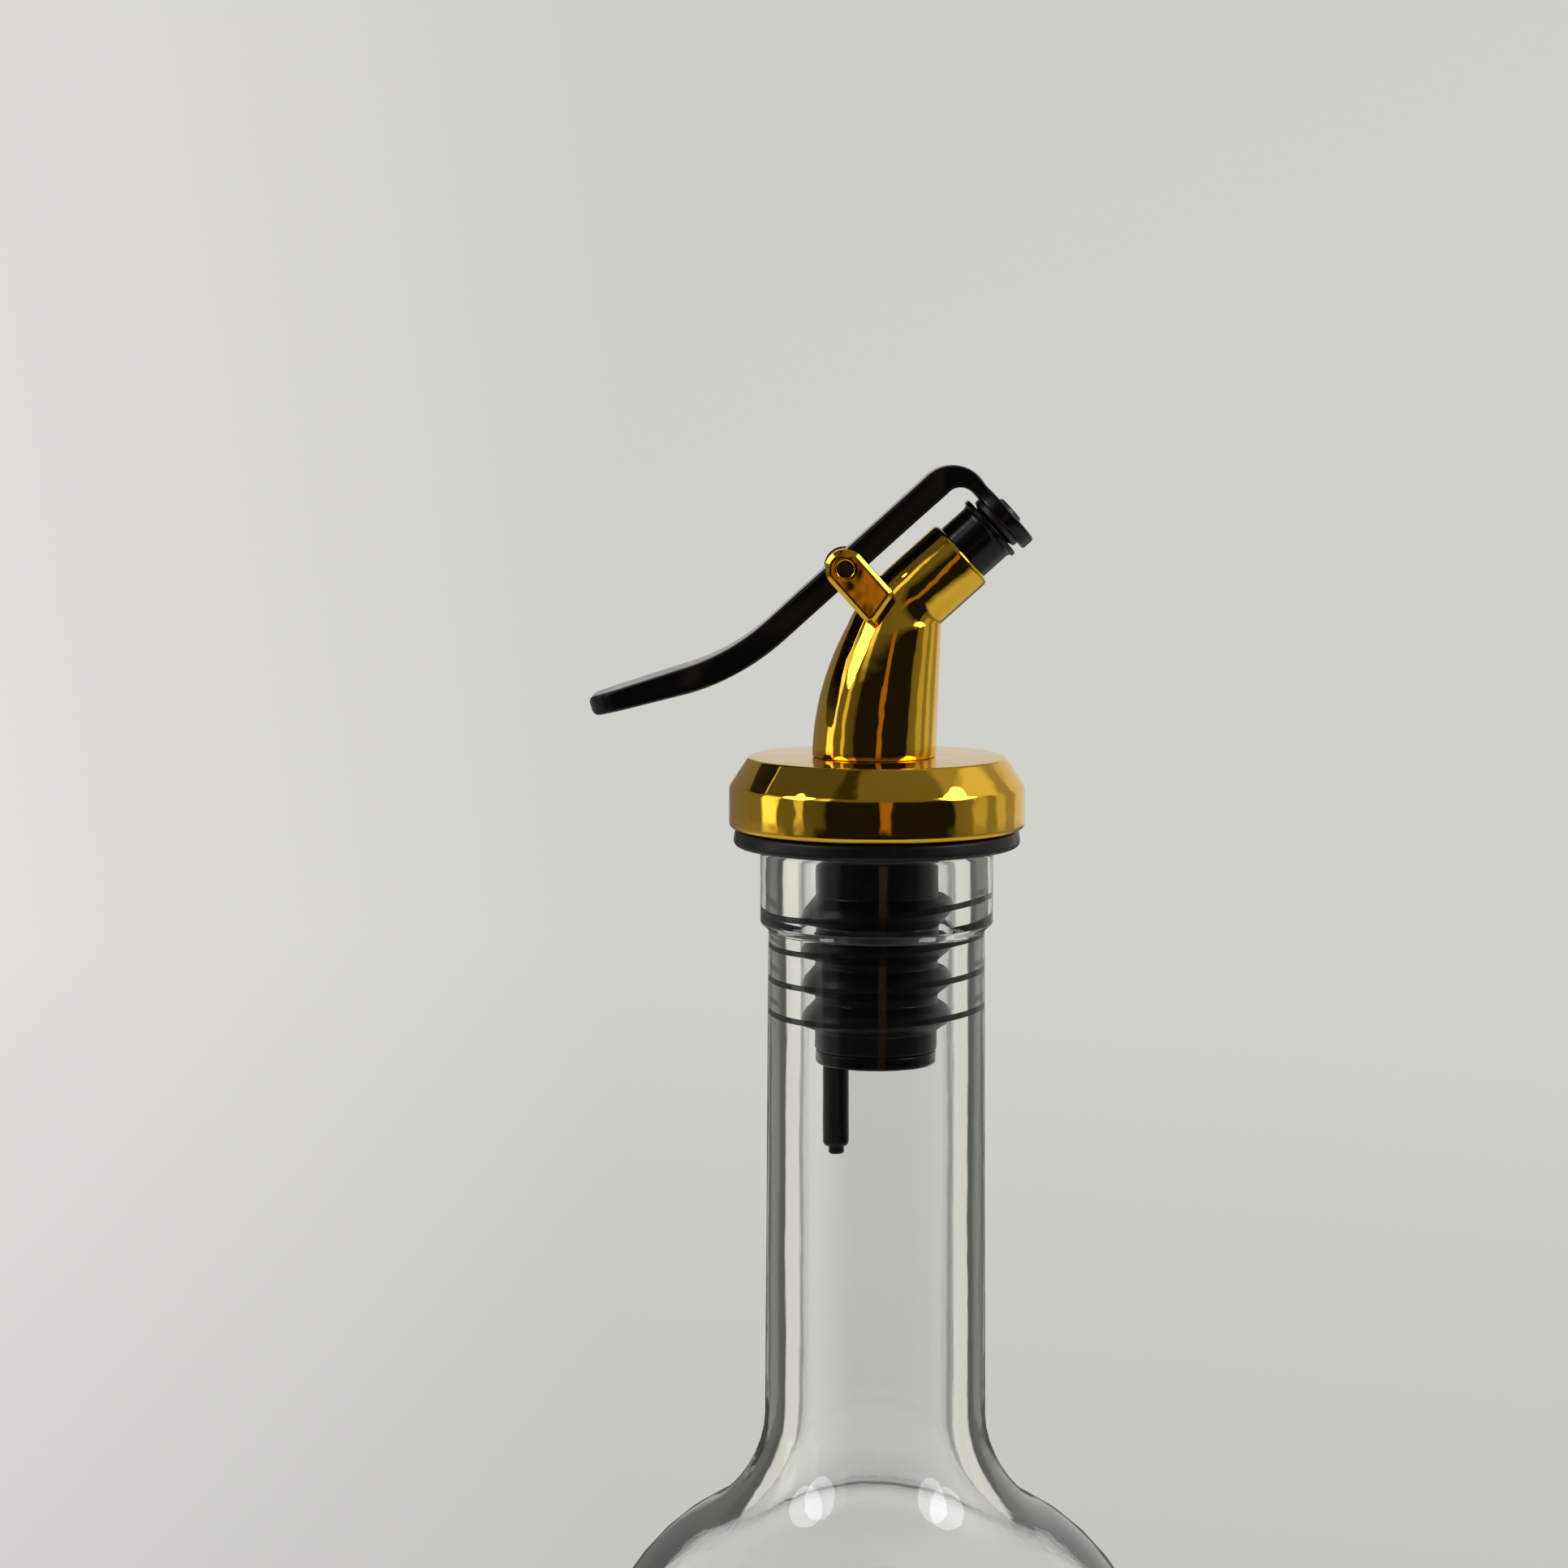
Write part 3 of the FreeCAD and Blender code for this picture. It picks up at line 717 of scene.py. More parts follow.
outline_edges = [edge for edge in creased(ear) if set(outer_verts).issuperset(edge.verts)
                 and edge.verts[0].co.xz.length >= (EAR_HOLE + HOLE_MARGIN) * MM]
bevel_edges(ear, outline_edges, EAR_EDGE, FLAT)
for vert in ear.verts:
    depth = EAR_OUTER * MM - vert.co.y
    if depth < (EAR_EDGE + TINY) * MM:
        vert.co.y += depth * (1 - EAR_SLOPE)
hole_edges = [edge for edge in creased(ear) if all(at_outer_side(vert.co) for vert in edge.verts)]
bevel_edges(ear, hole_edges, EAR_HOLE_EDGE, ROUND)
panel = [face for face in ear.faces
         if face.normal.y > STRAIGHT_OUT and at_outer_side(face.calc_center_median())]
for thickness, depth in ((EAR_RIM, 0), (EAR_WALL, -EAR_SINK)):
    bmesh.ops.inset_region(ear, faces=panel, thickness=thickness * MM, depth=depth * MM,
                           use_even_offset=True, use_boundary=True)
bmesh.ops.dissolve_degenerate(ear, dist=WELD, edges=ear.edges[:])
bmesh.ops.mirror(ear, geom=ear.verts[:] + ear.edges[:] + ear.faces[:], matrix=Matrix.Identity(4),
                 merge_dist=0, axis="Y")
bmesh.ops.recalc_face_normals(ear, faces=ear.faces[:])
bmesh.ops.transform(ear, matrix=on_lever, verts=ear.verts)
add_part(spout, ear)
finish_piece("spout_gold", spout, gold_plate, "head", "spout_shell")

# %% [markdown]
# ## The nozzle and the hinge pin
#
# A black tube is pushed into the mouth. It ends in a thin flared lip, which cuts off the last
# drop. It is round, so it is turned upright like the bottle, and a matrix lays it along the spout.

# %% Nozzle
NOZZLE_LENGTH = 4.75
NOZZLE_INSERTED = 5.0
NOZZLE_RADIUS = 3.85
NOZZLE_BORE = 2.9
LIP_RADIUS = 4.3
LIP_THICKNESS = 0.6
NOZZLE_STEPS = 72

nozzle = turned([
    (NOZZLE_BORE, -NOZZLE_INSERTED, 0),
    (NOZZLE_RADIUS, -NOZZLE_INSERTED, 0.3),
    (NOZZLE_RADIUS, NOZZLE_LENGTH - LIP_THICKNESS, 0.6),
    (LIP_RADIUS, NOZZLE_LENGTH - LIP_THICKNESS, 0.15),
    (LIP_RADIUS, NOZZLE_LENGTH, 0.2),
    (NOZZLE_BORE, NOZZLE_LENGTH, 0.4),
], NOZZLE_STEPS)
bmesh.ops.transform(nozzle, matrix=on_nozzle, verts=nozzle.verts)
finish_piece("nozzle_black", nozzle, black_plastic, "head", "nozzle_insert")

# %% [markdown]
# The pin is a plain steel rod with eased ends, sunk a little into the ears. Drawn wire is grey and
# a little rough, not polished. A cylinder would do for the rod, but the eased ends catch the light.

# %% Hinge pin
PIN_RADIUS = 1.0
PIN_RECESS = 1.3
PIN_STEPS = 40

pin_steel = new_finish("pin_steel", Metallic=1.0)
colour_by(pin_steel, cloud(pin_steel, 1, 0, 1), (0.06, 0.058, 0.055), (0.11, 0.105, 0.1))
roughness_by(pin_steel, cloud(pin_steel, 0.6, 0.25, 0.4))

pin_half = EAR_OUTER - PIN_RECESS
pin = turned([(0, -pin_half, 0), (PIN_RADIUS, -pin_half, 0.2), (PIN_RADIUS, pin_half, 0.2),
              (0, pin_half, 0)], PIN_STEPS, closed=False)
pin_place = on_lever @ Matrix.Rotation(math.radians(90), 4, "X")
bmesh.ops.transform(pin, matrix=pin_place, verts=pin.verts)
finish_piece("hinge_pin_steel", pin, pin_steel, "head", "hinge_pin")

# %% [markdown]
# ## The lever
#
# The lever is one moulding: a wide thumb pad, a straight arm over the hinge, a bend, and a
# drop that carries the lid. A box with loop cuts could be pushed into this shape by hand. Here a
# rounded bar is swept along it instead, because the widths then come from a few formulas. Each
# place says where the bar is, where it heads, and how wide and thick it is there.

# %% Plan the tail
ARM_HALF_THICK = 1.6
ARM_HALF_WIDTH = 3.2
TAIL_BEND_AT = -17.5
TAIL_BEND_ANGLE = 26.0
TAIL_BEND_RADIUS = 28.0
PAD_LENGTH = 18.5
PAD_HALF_WIDTH = 5.4
PAD_HALF_THICK = 1.2
PAD_CORNER = 4.6
PAD_TIP_START = 0.02
PAD_TIP_ROUND = 0.9
PAD_TIP_SHARE = 0.25
PAD_STEPS = 24
WIDEN_FROM = -9.0
WIDEN_TO = -24.0


def ease(part):
    """Smooth step from 0 to 1."""
    part = min(max(part, 0), 1)
    return part * part * (3 - 2 * part)


def tail_width(along):
    """Half width of the tail, which widens smoothly to the thumb pad."""
    part = ease((along - WIDEN_FROM) / (WIDEN_TO - WIDEN_FROM))
    return ARM_HALF_WIDTH + (PAD_HALF_WIDTH - ARM_HALF_WIDTH) * part


def round_end(distance, radius):
    """Share of the full radius that a round end has at a distance from its tip."""
    rest = 1 - min(distance / radius, 1)
    return math.sqrt(1 - rest * rest)


def pad_places():
    """Bar from the tip of the thumb pad to the start of the tail's bend."""
    lean = math.radians(TAIL_BEND_ANGLE)
    reach = TAIL_BEND_RADIUS * math.tan(lean / 2)
    flat = PAD_LENGTH - reach
    places = []
    for step in range(PAD_STEPS):
        distance = PAD_TIP_START + flat * (step / PAD_STEPS) ** 2
        from_bend = PAD_LENGTH - distance
        along = TAIL_BEND_AT - from_bend * math.cos(lean)
        above = from_bend * math.sin(lean)
        thin = ARM_HALF_THICK + (PAD_HALF_THICK - ARM_HALF_THICK) * (1 - distance / flat)
        width = tail_width(along) - PAD_CORNER * (1 - round_end(distance, PAD_CORNER))
        tip = PAD_TIP_SHARE + (1 - PAD_TIP_SHARE) * round_end(distance, PAD_TIP_ROUND)
        places.append((along, above, -TAIL_BEND_ANGLE, width, thin * tip))
    return places


def tail_places(steps=12):
    """Bar round the tail's bend."""
    start = TAIL_BEND_AT + TAIL_BEND_RADIUS * math.tan(math.radians(TAIL_BEND_ANGLE / 2))
    places = []
    for step in range(steps + 1):
        lean = TAIL_BEND_ANGLE * (1 - step / steps)
        angle = math.radians(lean)
        along = start - TAIL_BEND_RADIUS * math.sin(angle)
        above = TAIL_BEND_RADIUS * (1 - math.cos(angle))
        places.append((along, above, -lean, tail_width(along), ARM_HALF_THICK))
    return places


tail_sections = pad_places() + tail_places()
print("The tail of the lever has", len(tail_sections), "sections")

# %% [markdown]
# In front of the hinge the arm runs straight, turns down in a bend and ends as the leg on the lid.
# The bend has a small radius inside and a large one outside, so the bar is measured between the
# two arcs. One arc with a fixed thickness would be simpler, but it would make the corner too heavy.

# %% Plan the drop
ARM_STATIONS = (-5, 0, 5, 10)
BEND_OUTER = 4.5
BEND_INNER = 2.0
LEG_HALF_WIDTH = 2.3
LEG_HALF_THICK = 0.87
LID_FACE = 17.5
LID_THICKNESS = 1.8


def drop_places(steps=10):
    """Bar along the arm, round the bend and down to the lid."""
    outer_face = LID_FACE + LID_THICKNESS
    inner_centre = Vector((LID_FACE - BEND_INNER, -ARM_HALF_THICK - BEND_INNER))
    outer_centre = Vector((outer_face - BEND_OUTER, ARM_HALF_THICK - BEND_OUTER))
    places = [(along, 0, 0, ARM_HALF_WIDTH, ARM_HALF_THICK) for along in ARM_STATIONS]
    for step in range(steps + 1):
        angle = math.radians(90 * (1 - step / steps))
        aim = Vector((math.cos(angle), math.sin(angle)))
        low = inner_centre + aim * BEND_INNER
        high = outer_centre + aim * BEND_OUTER
        middle = (low + high) / 2
        width = ARM_HALF_WIDTH + (LEG_HALF_WIDTH - ARM_HALF_WIDTH) * 0.5 * ease(step / steps)
        places.append((middle.x, middle.y, math.degrees(angle) - 90, width, (high - low).length / 2))
    leg_middle = LID_FACE + LID_THICKNESS / 2
    leg_top = places[-1][1]
    half_way_width = places[-1][3]
    # The leg reaches its own width half way down, and its own thickness a third of the way.
    for step in range(1, steps + 1):
        part = step / steps
        above = leg_top + (-NOZZLE_DROP - leg_top) * part
        width = half_way_width + (LEG_HALF_WIDTH - half_way_width) * ease(2 * part)
        thick = LID_THICKNESS / 2 + (LEG_HALF_THICK - LID_THICKNESS / 2) * ease(3 * part)
        places.append((leg_middle, above, -90, width, thick))
    return places


bar_sections = tail_sections + drop_places()
print("The bar of the lever has", len(bar_sections), "sections")

# %% [markdown]
# The section of the bar is a square with rounded corners, 1 from its middle to each side, so that a
# matrix can give it any width and thickness. It starts at the tip of the pad and goes from place
# to place, as the circle of the spout did. A flat face closes each end.

# %% Sweep the lever
BAR_ROUND = 0.24


def bar_place(along, above, heading, half_width, half_thick):
    """Matrix that lays a bar section of half width 1 and half thickness 1 across the lever."""
    return (Matrix.Translation((along * MM, 0, above * MM))
            @ Matrix.Rotation(math.radians(-heading), 4, "Y")
            @ Matrix.Diagonal((1, half_width, half_thick, 1)))


bar_places = [bar_place(*section) for section in bar_sections]
lever = bmesh.new()
draw_wire(lever, [(-1, -1, BAR_ROUND), (1, -1, BAR_ROUND), (1, 1, BAR_ROUND), (-1, 1, BAR_ROUND)],
          closed=True)
bmesh.ops.rotate(lever, verts=lever.verts, matrix=Matrix.Rotation(math.radians(90), 3, "Z"))
bmesh.ops.transform(lever, matrix=bar_places[0], verts=lever.verts)
tip_ring = lever.edges[:]
lid_ring = sweep(lever, tip_ring, bar_places)
bmesh.ops.contextual_create(lever, geom=tip_ring)
bmesh.ops.contextual_create(lever, geom=lid_ring)
close_up(lever)
print("The bar has", len(lever.faces), "faces")

# %% [markdown]
# The spring sits in a pocket of the lever, open above and below, with a slot for the leg that
# pushes the tail. The pocket is a prism, and a Boolean modifier cuts it out of the bar. Cutting the
# bar's own faces open by hand would take many more steps for the same hole.

# %% Cut the pocket
WIRE_RADIUS = 0.25
COIL_RADIUS = 1.45
POCKET_PLAY = 0.2
POCKET_RADIUS = COIL_RADIUS + WIRE_RADIUS + POCKET_PLAY
POCKET_HALF = 1.8
POCKET_DEPTH = 3.2
SLOT_ROOF = -0.25
SLOT_END = -6.8


def carve(mesh, cutter):
    """Cut the second closed mesh out of the first."""
    body = mesh_object("body", mesh)
    tool = mesh_object("tool", cutter)
    cut = body.modifiers.new("cut", "BOOLEAN")
    cut.operation = "DIFFERENCE"
    cut.solver = "EXACT"
    cut.object = tool
    result = bmesh.new()
    result.from_object(body, bpy.context.evaluated_depsgraph_get())
    for holder in (body, tool):
        data = holder.data
        bpy.data.objects.remove(holder)
        bpy.data.meshes.remove(data)
    return result


pocket = bmesh.new()
draw_wire(pocket, [
    (POCKET_RADIUS, -POCKET_DEPTH, 0),
    (POCKET_RADIUS, POCKET_RADIUS, POCKET_RADIUS - TINY),
    (-POCKET_RADIUS, POCKET_RADIUS, POCKET_RADIUS - TINY),
    (-POCKET_RADIUS, SLOT_ROOF, 0),
    (SLOT_END, SLOT_ROOF, 0),
    (SLOT_END, -POCKET_DEPTH, 0),
], closed=True)
bmesh.ops.contextual_create(pocket, geom=pocket.edges[:])
bmesh.ops.translate(pocket, verts=pocket.verts, vec=(0, -POCKET_HALF * MM, 0))
far_verts = verts_in(bmesh.ops.extrude_face_region(pocket, geom=pocket.faces[:])["geom"])
bmesh.ops.translate(pocket, verts=far_verts, vec=(0, 2 * POCKET_HALF * MM, 0))
close_up(pocket)
lever = carve(lever, pocket)
print("With the pocket cut, the bar has", len(lever.faces), "faces")

# %% [markdown]
# The lid is a disc at the end of the leg, and two cheeks make the hub round, one on each side of the
# pocket. They are closed shapes of their own that run into the bar. Joining them with Booleans is
# possible too, but separate shapes keep their edges clean, and on black plastic no seam shows.

# %% Add the lid and the hub
LID_RADIUS = 4.55
LID_STEPS = 72
HUB_RADIUS = 1.9
HUB_STEPS = 64
CHEEK_GAP = 0.05
CHEEK_FACE = POCKET_HALF + CHEEK_GAP

lid = turned([(0, 0, 0), (LID_RADIUS, 0, 0.35), (LID_RADIUS, LID_THICKNESS, 0.35),
              (0, LID_THICKNESS, 0)], LID_STEPS, closed=False)
lid_place = (Matrix.Translation((LID_FACE * MM, 0, -NOZZLE_DROP * MM))
             @ Matrix.Rotation(math.radians(90), 4, "Y"))
bmesh.ops.transform(lid, matrix=lid_place, verts=lid.verts)
add_part(lever, lid)
for side in (-90, 90):
    cheek = turned([(0, CHEEK_FACE, 0), (HUB_RADIUS, CHEEK_FACE, 0), (HUB_RADIUS, ARM_HALF_WIDTH, 0.3),
                    (0, ARM_HALF_WIDTH, 0)], HUB_STEPS, closed=False)
    bmesh.ops.rotate(cheek, verts=cheek.verts, matrix=Matrix.Rotation(math.radians(side), 3, "X"))
    add_part(lever, cheek)
bmesh.ops.recalc_face_normals(lever, faces=lever.faces[:])
bmesh.ops.transform(lever, matrix=on_lever, verts=lever.verts)
finish_piece("lever_black", lever, black_plastic, "lever", "lever_arm")

# %% [markdown]
# ## The seal and the spring
#
# A silicone plug fills a hole in the lid. Inside it swells to a domed pad that shuts the
# nozzle. Outside it ends in a small round head. It is turned from one section. A loop lays the
# points of the dome on a circle, which a corner with a rounding can't do at the axis.

# %% Seal
black_silicone = new_finish("black_silicone", Specular_IOR_Level=0.5)
colour_by(black_silicone, cloud(black_silicone, 2, 0, 1), (0.010, 0.010, 0.011), (0.022, 0.022, 0.023))
roughness_by(black_silicone, cloud(black_silicone, 1.5, 0.3, 0.45))

DOME_RADIUS = 7.5
DOME_START = -1.4
PAD_RADIUS = 3.5
STEM_RADIUS = 1.2
HEAD_RADIUS = 1.9
HEAD_HEIGHT = 0.45
HEAD_TOP_SHARE = 0.85
HEAD_ROUND_SHARE = 0.8
DOME_STEPS = 6
SEAL_STEPS = 64

seal_corners = []
for step in range(DOME_STEPS + 1):
    radius = PAD_RADIUS * step / DOME_STEPS
    dome = DOME_RADIUS - math.sqrt(DOME_RADIUS ** 2 - radius ** 2)
    seal_corners.append((radius, DOME_START + dome, 0))
seal_corners += [
    (PAD_RADIUS, 0, 0),
    (STEM_RADIUS, 0, 0),
    (STEM_RADIUS, LID_THICKNESS, 0),
    (HEAD_RADIUS, LID_THICKNESS, 0),
    (HEAD_RADIUS * HEAD_TOP_SHARE, LID_THICKNESS + HEAD_HEIGHT, HEAD_HEIGHT * HEAD_ROUND_SHARE),
    (0, LID_THICKNESS + HEAD_HEIGHT, 0),
]
seal = turned(seal_corners, SEAL_STEPS, closed=False)
bmesh.ops.transform(seal, matrix=on_lever @ lid_place, verts=seal.verts)
finish_piece("lid_seal_silicone", seal, black_silicone, "lever", "lid_seal")

# %% [markdown]
# The spring is wound round the pin. One leg rests on the back of the spout and the other pushes
# the tail of the lever. The wire is blackened against rust, so it is a dark, satin metal.

# %% Spring steel
spring_steel = new_finish("spring_steel", Metallic=1.0)
colour_by(spring_steel, cloud(spring_steel, 0.8, 0, 1), (0.08, 0.08, 0.085), (0.16, 0.16, 0.165))
roughness_by(spring_steel, cloud(spring_steel, 0.5, 0.3, 0.45))
print("Spring wire is dark, with roughness from 0.3 to 0.45")

# %% [markdown]
# A bevelled curve could be the wire, but a spun circle gives a closed mesh with true ends. One spin
# with a step along the pin makes the coil, a second one makes the bend, and a straight sweep makes
# each leg.

# %% Wind the spring
COIL_GAP = 0.48
COIL_PITCH = 2 * WIRE_RADIUS + COIL_GAP
FULL_TURNS = 2
LEG_ANGLE = math.radians(-3)
TAIL_ANGLE = math.radians(180 + TILT)
SPOUT_LEG = 4.6
TAIL_LEG = 6.3
SPRING_BEND = 0.5
COIL_STEPS = 96
BEND_STEPS = 6
WIRE_STEPS = 14

coil_sweep = TAIL_ANGLE - LEG_ANGLE + FULL_TURNS * math.tau
coil_half = COIL_PITCH * coil_sweep / (2 * math.tau)
spring = bmesh.new()
wire_start = (Matrix.Rotation(-LEG_ANGLE, 4, "Y")
              @ Matrix.Translation((COIL_RADIUS * MM, coil_half * MM, 0)))
bmesh.ops.create_circle(spring, cap_ends=False, segments=WIRE_STEPS, radius=WIRE_RADIUS * MM,
                        matrix=wire_start)
leg_ring = spring.edges[:]
lead = math.atan(COIL_PITCH / (math.tau * COIL_RADIUS))
leg_run = Vector((0, math.sin(lead), -math.cos(lead))) * (SPOUT_LEG * MM)
leg_end = (Matrix.Rotation(-LEG_ANGLE, 4, "Y")
           @ Matrix.Translation(Vector((COIL_RADIUS * MM, coil_half * MM, 0)) + leg_run))
coil = bmesh.ops.spin(
    spring, geom=leg_ring, cent=(0, 0, 0), axis=(0, -1, 0), angle=coil_sweep, steps=COIL_STEPS,
    dvec=(0, -2 * coil_half * MM / COIL_STEPS, 0),
)["geom_last"]
tail_aim = Vector((math.cos(TAIL_ANGLE), 0, math.sin(TAIL_ANGLE)))
bend_centre = tail_aim * ((COIL_RADIUS + SPRING_BEND) * MM)
bend = bmesh.ops.spin(
    spring, geom=edges_in(coil), cent=bend_centre, axis=(0, 1, 0), angle=math.pi / 2,
    steps=BEND_STEPS, dvec=(0, 0, 0),
)["geom_last"]
tail_run = tail_aim * ((TAIL_LEG - COIL_RADIUS - SPRING_BEND) * MM)
tail_end = sweep(spring, edges_in(bend), [Matrix.Identity(4), Matrix.Translation(tail_run)])
foot_end = sweep(spring, leg_ring, [wire_start, leg_end])
bmesh.ops.contextual_create(spring, geom=tail_end)
bmesh.ops.contextual_create(spring, geom=foot_end)
close_up(spring)
pivot = Vector((PIVOT_X * MM, 0, PIVOT_Z * MM))
bmesh.ops.translate(spring, verts=spring.verts, vec=pivot)
spring_piece = mesh_object("spring_wire", spring)
spring_piece.data.shade_smooth()
spring_piece.data.materials.append(spring_steel)
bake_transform(spring_piece)
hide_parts("return_spring")
print("The spring has", round(coil_sweep / math.tau, 2), "turns over", round(2 * coil_half, 2), "mm")

# %% [markdown]
# ## Floor, light and camera
#
# The bottle stands on a pale floor that fades into the background, so that no edge of the floor
# is seen. The floor keeps the shadow of the bottle. A curved backdrop would hide the edge too, but
# only from one side, and this one holds from every side.

# %% Floor
FLOOR_RADIUS = 0.5
FLOOR_STEPS = 96
FADE_START = 0.35
FADE_END = 0.98

floor_mesh = bmesh.new()
bmesh.ops.create_circle(floor_mesh, cap_ends=True, segments=FLOOR_STEPS, radius=FLOOR_RADIUS)
floor = mesh_object("floor", floor_mesh)

floor_finish = new_finish("floor_paint", Roughness=0.7)
colour_by(floor_finish, cloud(floor_finish, 30, 0, 1), (0.612, 0.602, 0.582), (0.626, 0.616, 0.596))
floor.data.materials.append(floor_finish)
floor_nodes = floor_finish.node_tree.nodes
floor_links = floor_finish.node_tree.links
floor_place = floor_nodes.new("ShaderNodeTexCoord")
floor_distance = floor_nodes.new("ShaderNodeVectorMath")
floor_distance.operation = "LENGTH"
floor_fade = floor_nodes.new("ShaderNodeMapRange")
floor_fade.interpolation_type = "SMOOTHSTEP"
floor_fade.inputs["From Min"].default_value = FLOOR_RADIUS * FADE_START
floor_fade.inputs["From Max"].default_value = FLOOR_RADIUS * FADE_END
floor_fade.inputs["To Min"].default_value = 1.0
floor_fade.inputs["To Max"].default_value = 0.0
floor_links.new(floor_place.outputs["Object"], floor_distance.inputs[0])
floor_links.new(floor_distance.outputs["Value"], floor_fade.inputs["Value"])
floor_links.new(floor_fade.outputs["Result"], floor_nodes["Principled BSDF"].inputs["Alpha"])
print("Floor radius", FLOOR_RADIUS, "m")

# %% [markdown]
# Polished gold and glass show what is around them, so the room decides most of their look. With
# lamps alone the gold would be nearly black. A room of walls and panels could be built, but here it is
# painted on the sky of the scene, as a brightness for each direction. These helpers keep that short.

# %% Tools for the room
world = bpy.data.worlds.new("room")
bpy.context.scene.world = world
world.use_nodes = True
room_nodes = world.node_tree.nodes
room_links = world.node_tree.links
room_nodes.clear()
PALE = (1.0, 0.98, 0.94)


def pale(tone):
    """Slightly warm grey of the given brightness."""
    return tuple(tone * share for share in PALE)


def room_ramp(driver, stops):
    """Colour ramp over a value, through (position, colour) stops."""
    ramp = room_nodes.new("ShaderNodeValToRGB")
    elements = ramp.color_ramp.elements
    while len(elements) < len(stops):
        elements.new(0.5)
    for element, (position, colour) in zip(elements, stops):
        element.position = position
        element.color = (*colour, 1)
    room_links.new(driver, ramp.inputs["Fac"])
    return ramp.outputs["Color"]


def room_value(driver, low, high):
    """Spread a value between low and high over 0 to 1."""
    spread = room_nodes.new("ShaderNodeMapRange")
    spread.inputs["From Min"].default_value = low
    spread.inputs["From Max"].default_value = high
    room_links.new(driver, spread.inputs["Value"])
    return spread.outputs["Result"]


def room_light(colour):
    """Background shader from a colour socket or a plain colour."""
    background = room_nodes.new("ShaderNodeBackground")
    if isinstance(colour, tuple):
        background.inputs["Color"].default_value = (*colour, 1)
    else:
        room_links.new(colour, background.inputs["Color"])
    return background.outputs["Background"]


def room_mix(factor, first, second):
    """Go from the first background to the second as the factor goes 0 to 1."""
    blend = room_nodes.new("ShaderNodeMixShader")
    room_links.new(factor, blend.inputs["Fac"])
    room_links.new(first, blend.inputs[1])
    room_links.new(second, blend.inputs[2])
    return blend.outputs["Shader"]


def room_math(operation, first, second):
    """Math node over a socket and a socket or number."""
    node = room_nodes.new("ShaderNodeMath")
    node.operation = operation
    for socket, value in zip(node.inputs, (first, second)):
        if isinstance(value, (int, float)):
            socket.default_value = value
        else:
            room_links.new(value, socket)
    return node.outputs["Value"]


room_place = room_nodes.new("ShaderNodeTexCoord")
direction = room_nodes.new("ShaderNodeSeparateXYZ")
room_links.new(room_place.outputs["Generated"], direction.inputs["Vector"])
sideways = direction.outputs["X"]
away = direction.outputs["Y"]
upward = direction.outputs["Z"]
turn = room_math("ARCTAN2", sideways, away)
print("The room is painted by direction")

# %% [markdown]
# The studio is what the gold and the edges of the glass reflect. Each band of height is one
# ring of brightness, from straight behind the camera round to the back wall and on. The camera's
# side is dark, with one dim warm strip, and bright strips stand at the sides.
#
# Light that has been inside the glass gets a ring of its own. Its cream strips become the pale
# lines along the neck and the shoulder. One ring for both would have put cream on the gold too.

# %% Paint the studio
CREAM = (0.71, 0.69, 0.62)
GREEN = (0.1, 0.115, 0.095)
WARM = (0.36, 0.185, 0.065)
GLOW = (0.08, 0.05, 0.03)
DARK = 0.012


def around(stops):
    """Ring of light from (degrees from the back wall, brightness or colour) stops."""
    places = []
    for degrees, tone in stops:
        colour = tone if isinstance(tone, tuple) else pale(tone)
        places.append(((degrees + 180) / 360, colour))
    return room_light(room_ramp(room_value(turn, -math.pi, math.pi), places))


level = around([
    (-180, DARK), (-140, DARK), (-136, 0.09), (-121, 0.12), (-119, 0.8), (-113, 0.8), (-111, 0.16),
    (-97, 0.16), (-94, 1.6), (-80, 1.6), (-76, 0.2), (-14, 0.2), (-9, 0.62), (22, 0.7), (46, 0.7),
    (50, 0.35), (62, 0.35), (66, 0.6), (74, 0.6), (78, 0.26), (86, 0.26), (89, 0.5), (100, 0.5),
    (103, 0.2), (118, 0.17), (121, DARK), (170, DARK), (171.5, WARM), (178.5, WARM), (180, DARK),
])
low = around([
    (-180, DARK), (-131, DARK), (-127, 0.12), (-106, 0.12), (-100, 0.3), (-34, 0.3), (-30, 0.16),
    (-20, 0.16), (-16, GREEN), (16, GREEN), (20, 0.16), (30, 0.16), (34, 0.3), (68, 0.3), (120, 0.12),
    (126, DARK), (180, DARK),
])
inner = around([
    (-180, DARK), (-131, DARK), (-127, 0.12), (-106, 0.12), (-100, 0.3), (-68, 0.3), (-62, CREAM),
    (-34, CREAM), (-30, 0.08), (-20, 0.08), (-16, GREEN), (16, GREEN), (20, 0.08), (30, 0.08),
    (34, CREAM), (62, CREAM), (68, 0.3), (120, 0.12), (126, DARK), (170, DARK), (171.5, GLOW),
    (178.5, GLOW), (180, DARK),
])
high = around([
    (-180, 0.16), (-142, 0.14), (-138, 1.2), (-130, 1.2), (-126, 0.1), (-50, 0.1), (-30, 0.3),
    (40, 0.3), (58, 0.38), (64, 0.8), (126, 0.8), (130, 0.17), (180, 0.16),
])
overhead = around([
    (-180, 0.165), (-160, 0.165), (-153, 0.04), (-138, 0.04), (-132, 0.1), (-60, 0.1), (60, 0.36),
    (106, 0.36), (112, 0.17), (180, 0.165),
])


def stack(middle, bands):
    """Lay (start height, end height, ring) bands over the ring in the middle."""
    for start, end, band in bands:
        middle = room_mix(room_value(upward, start, end), middle, band)
    return middle


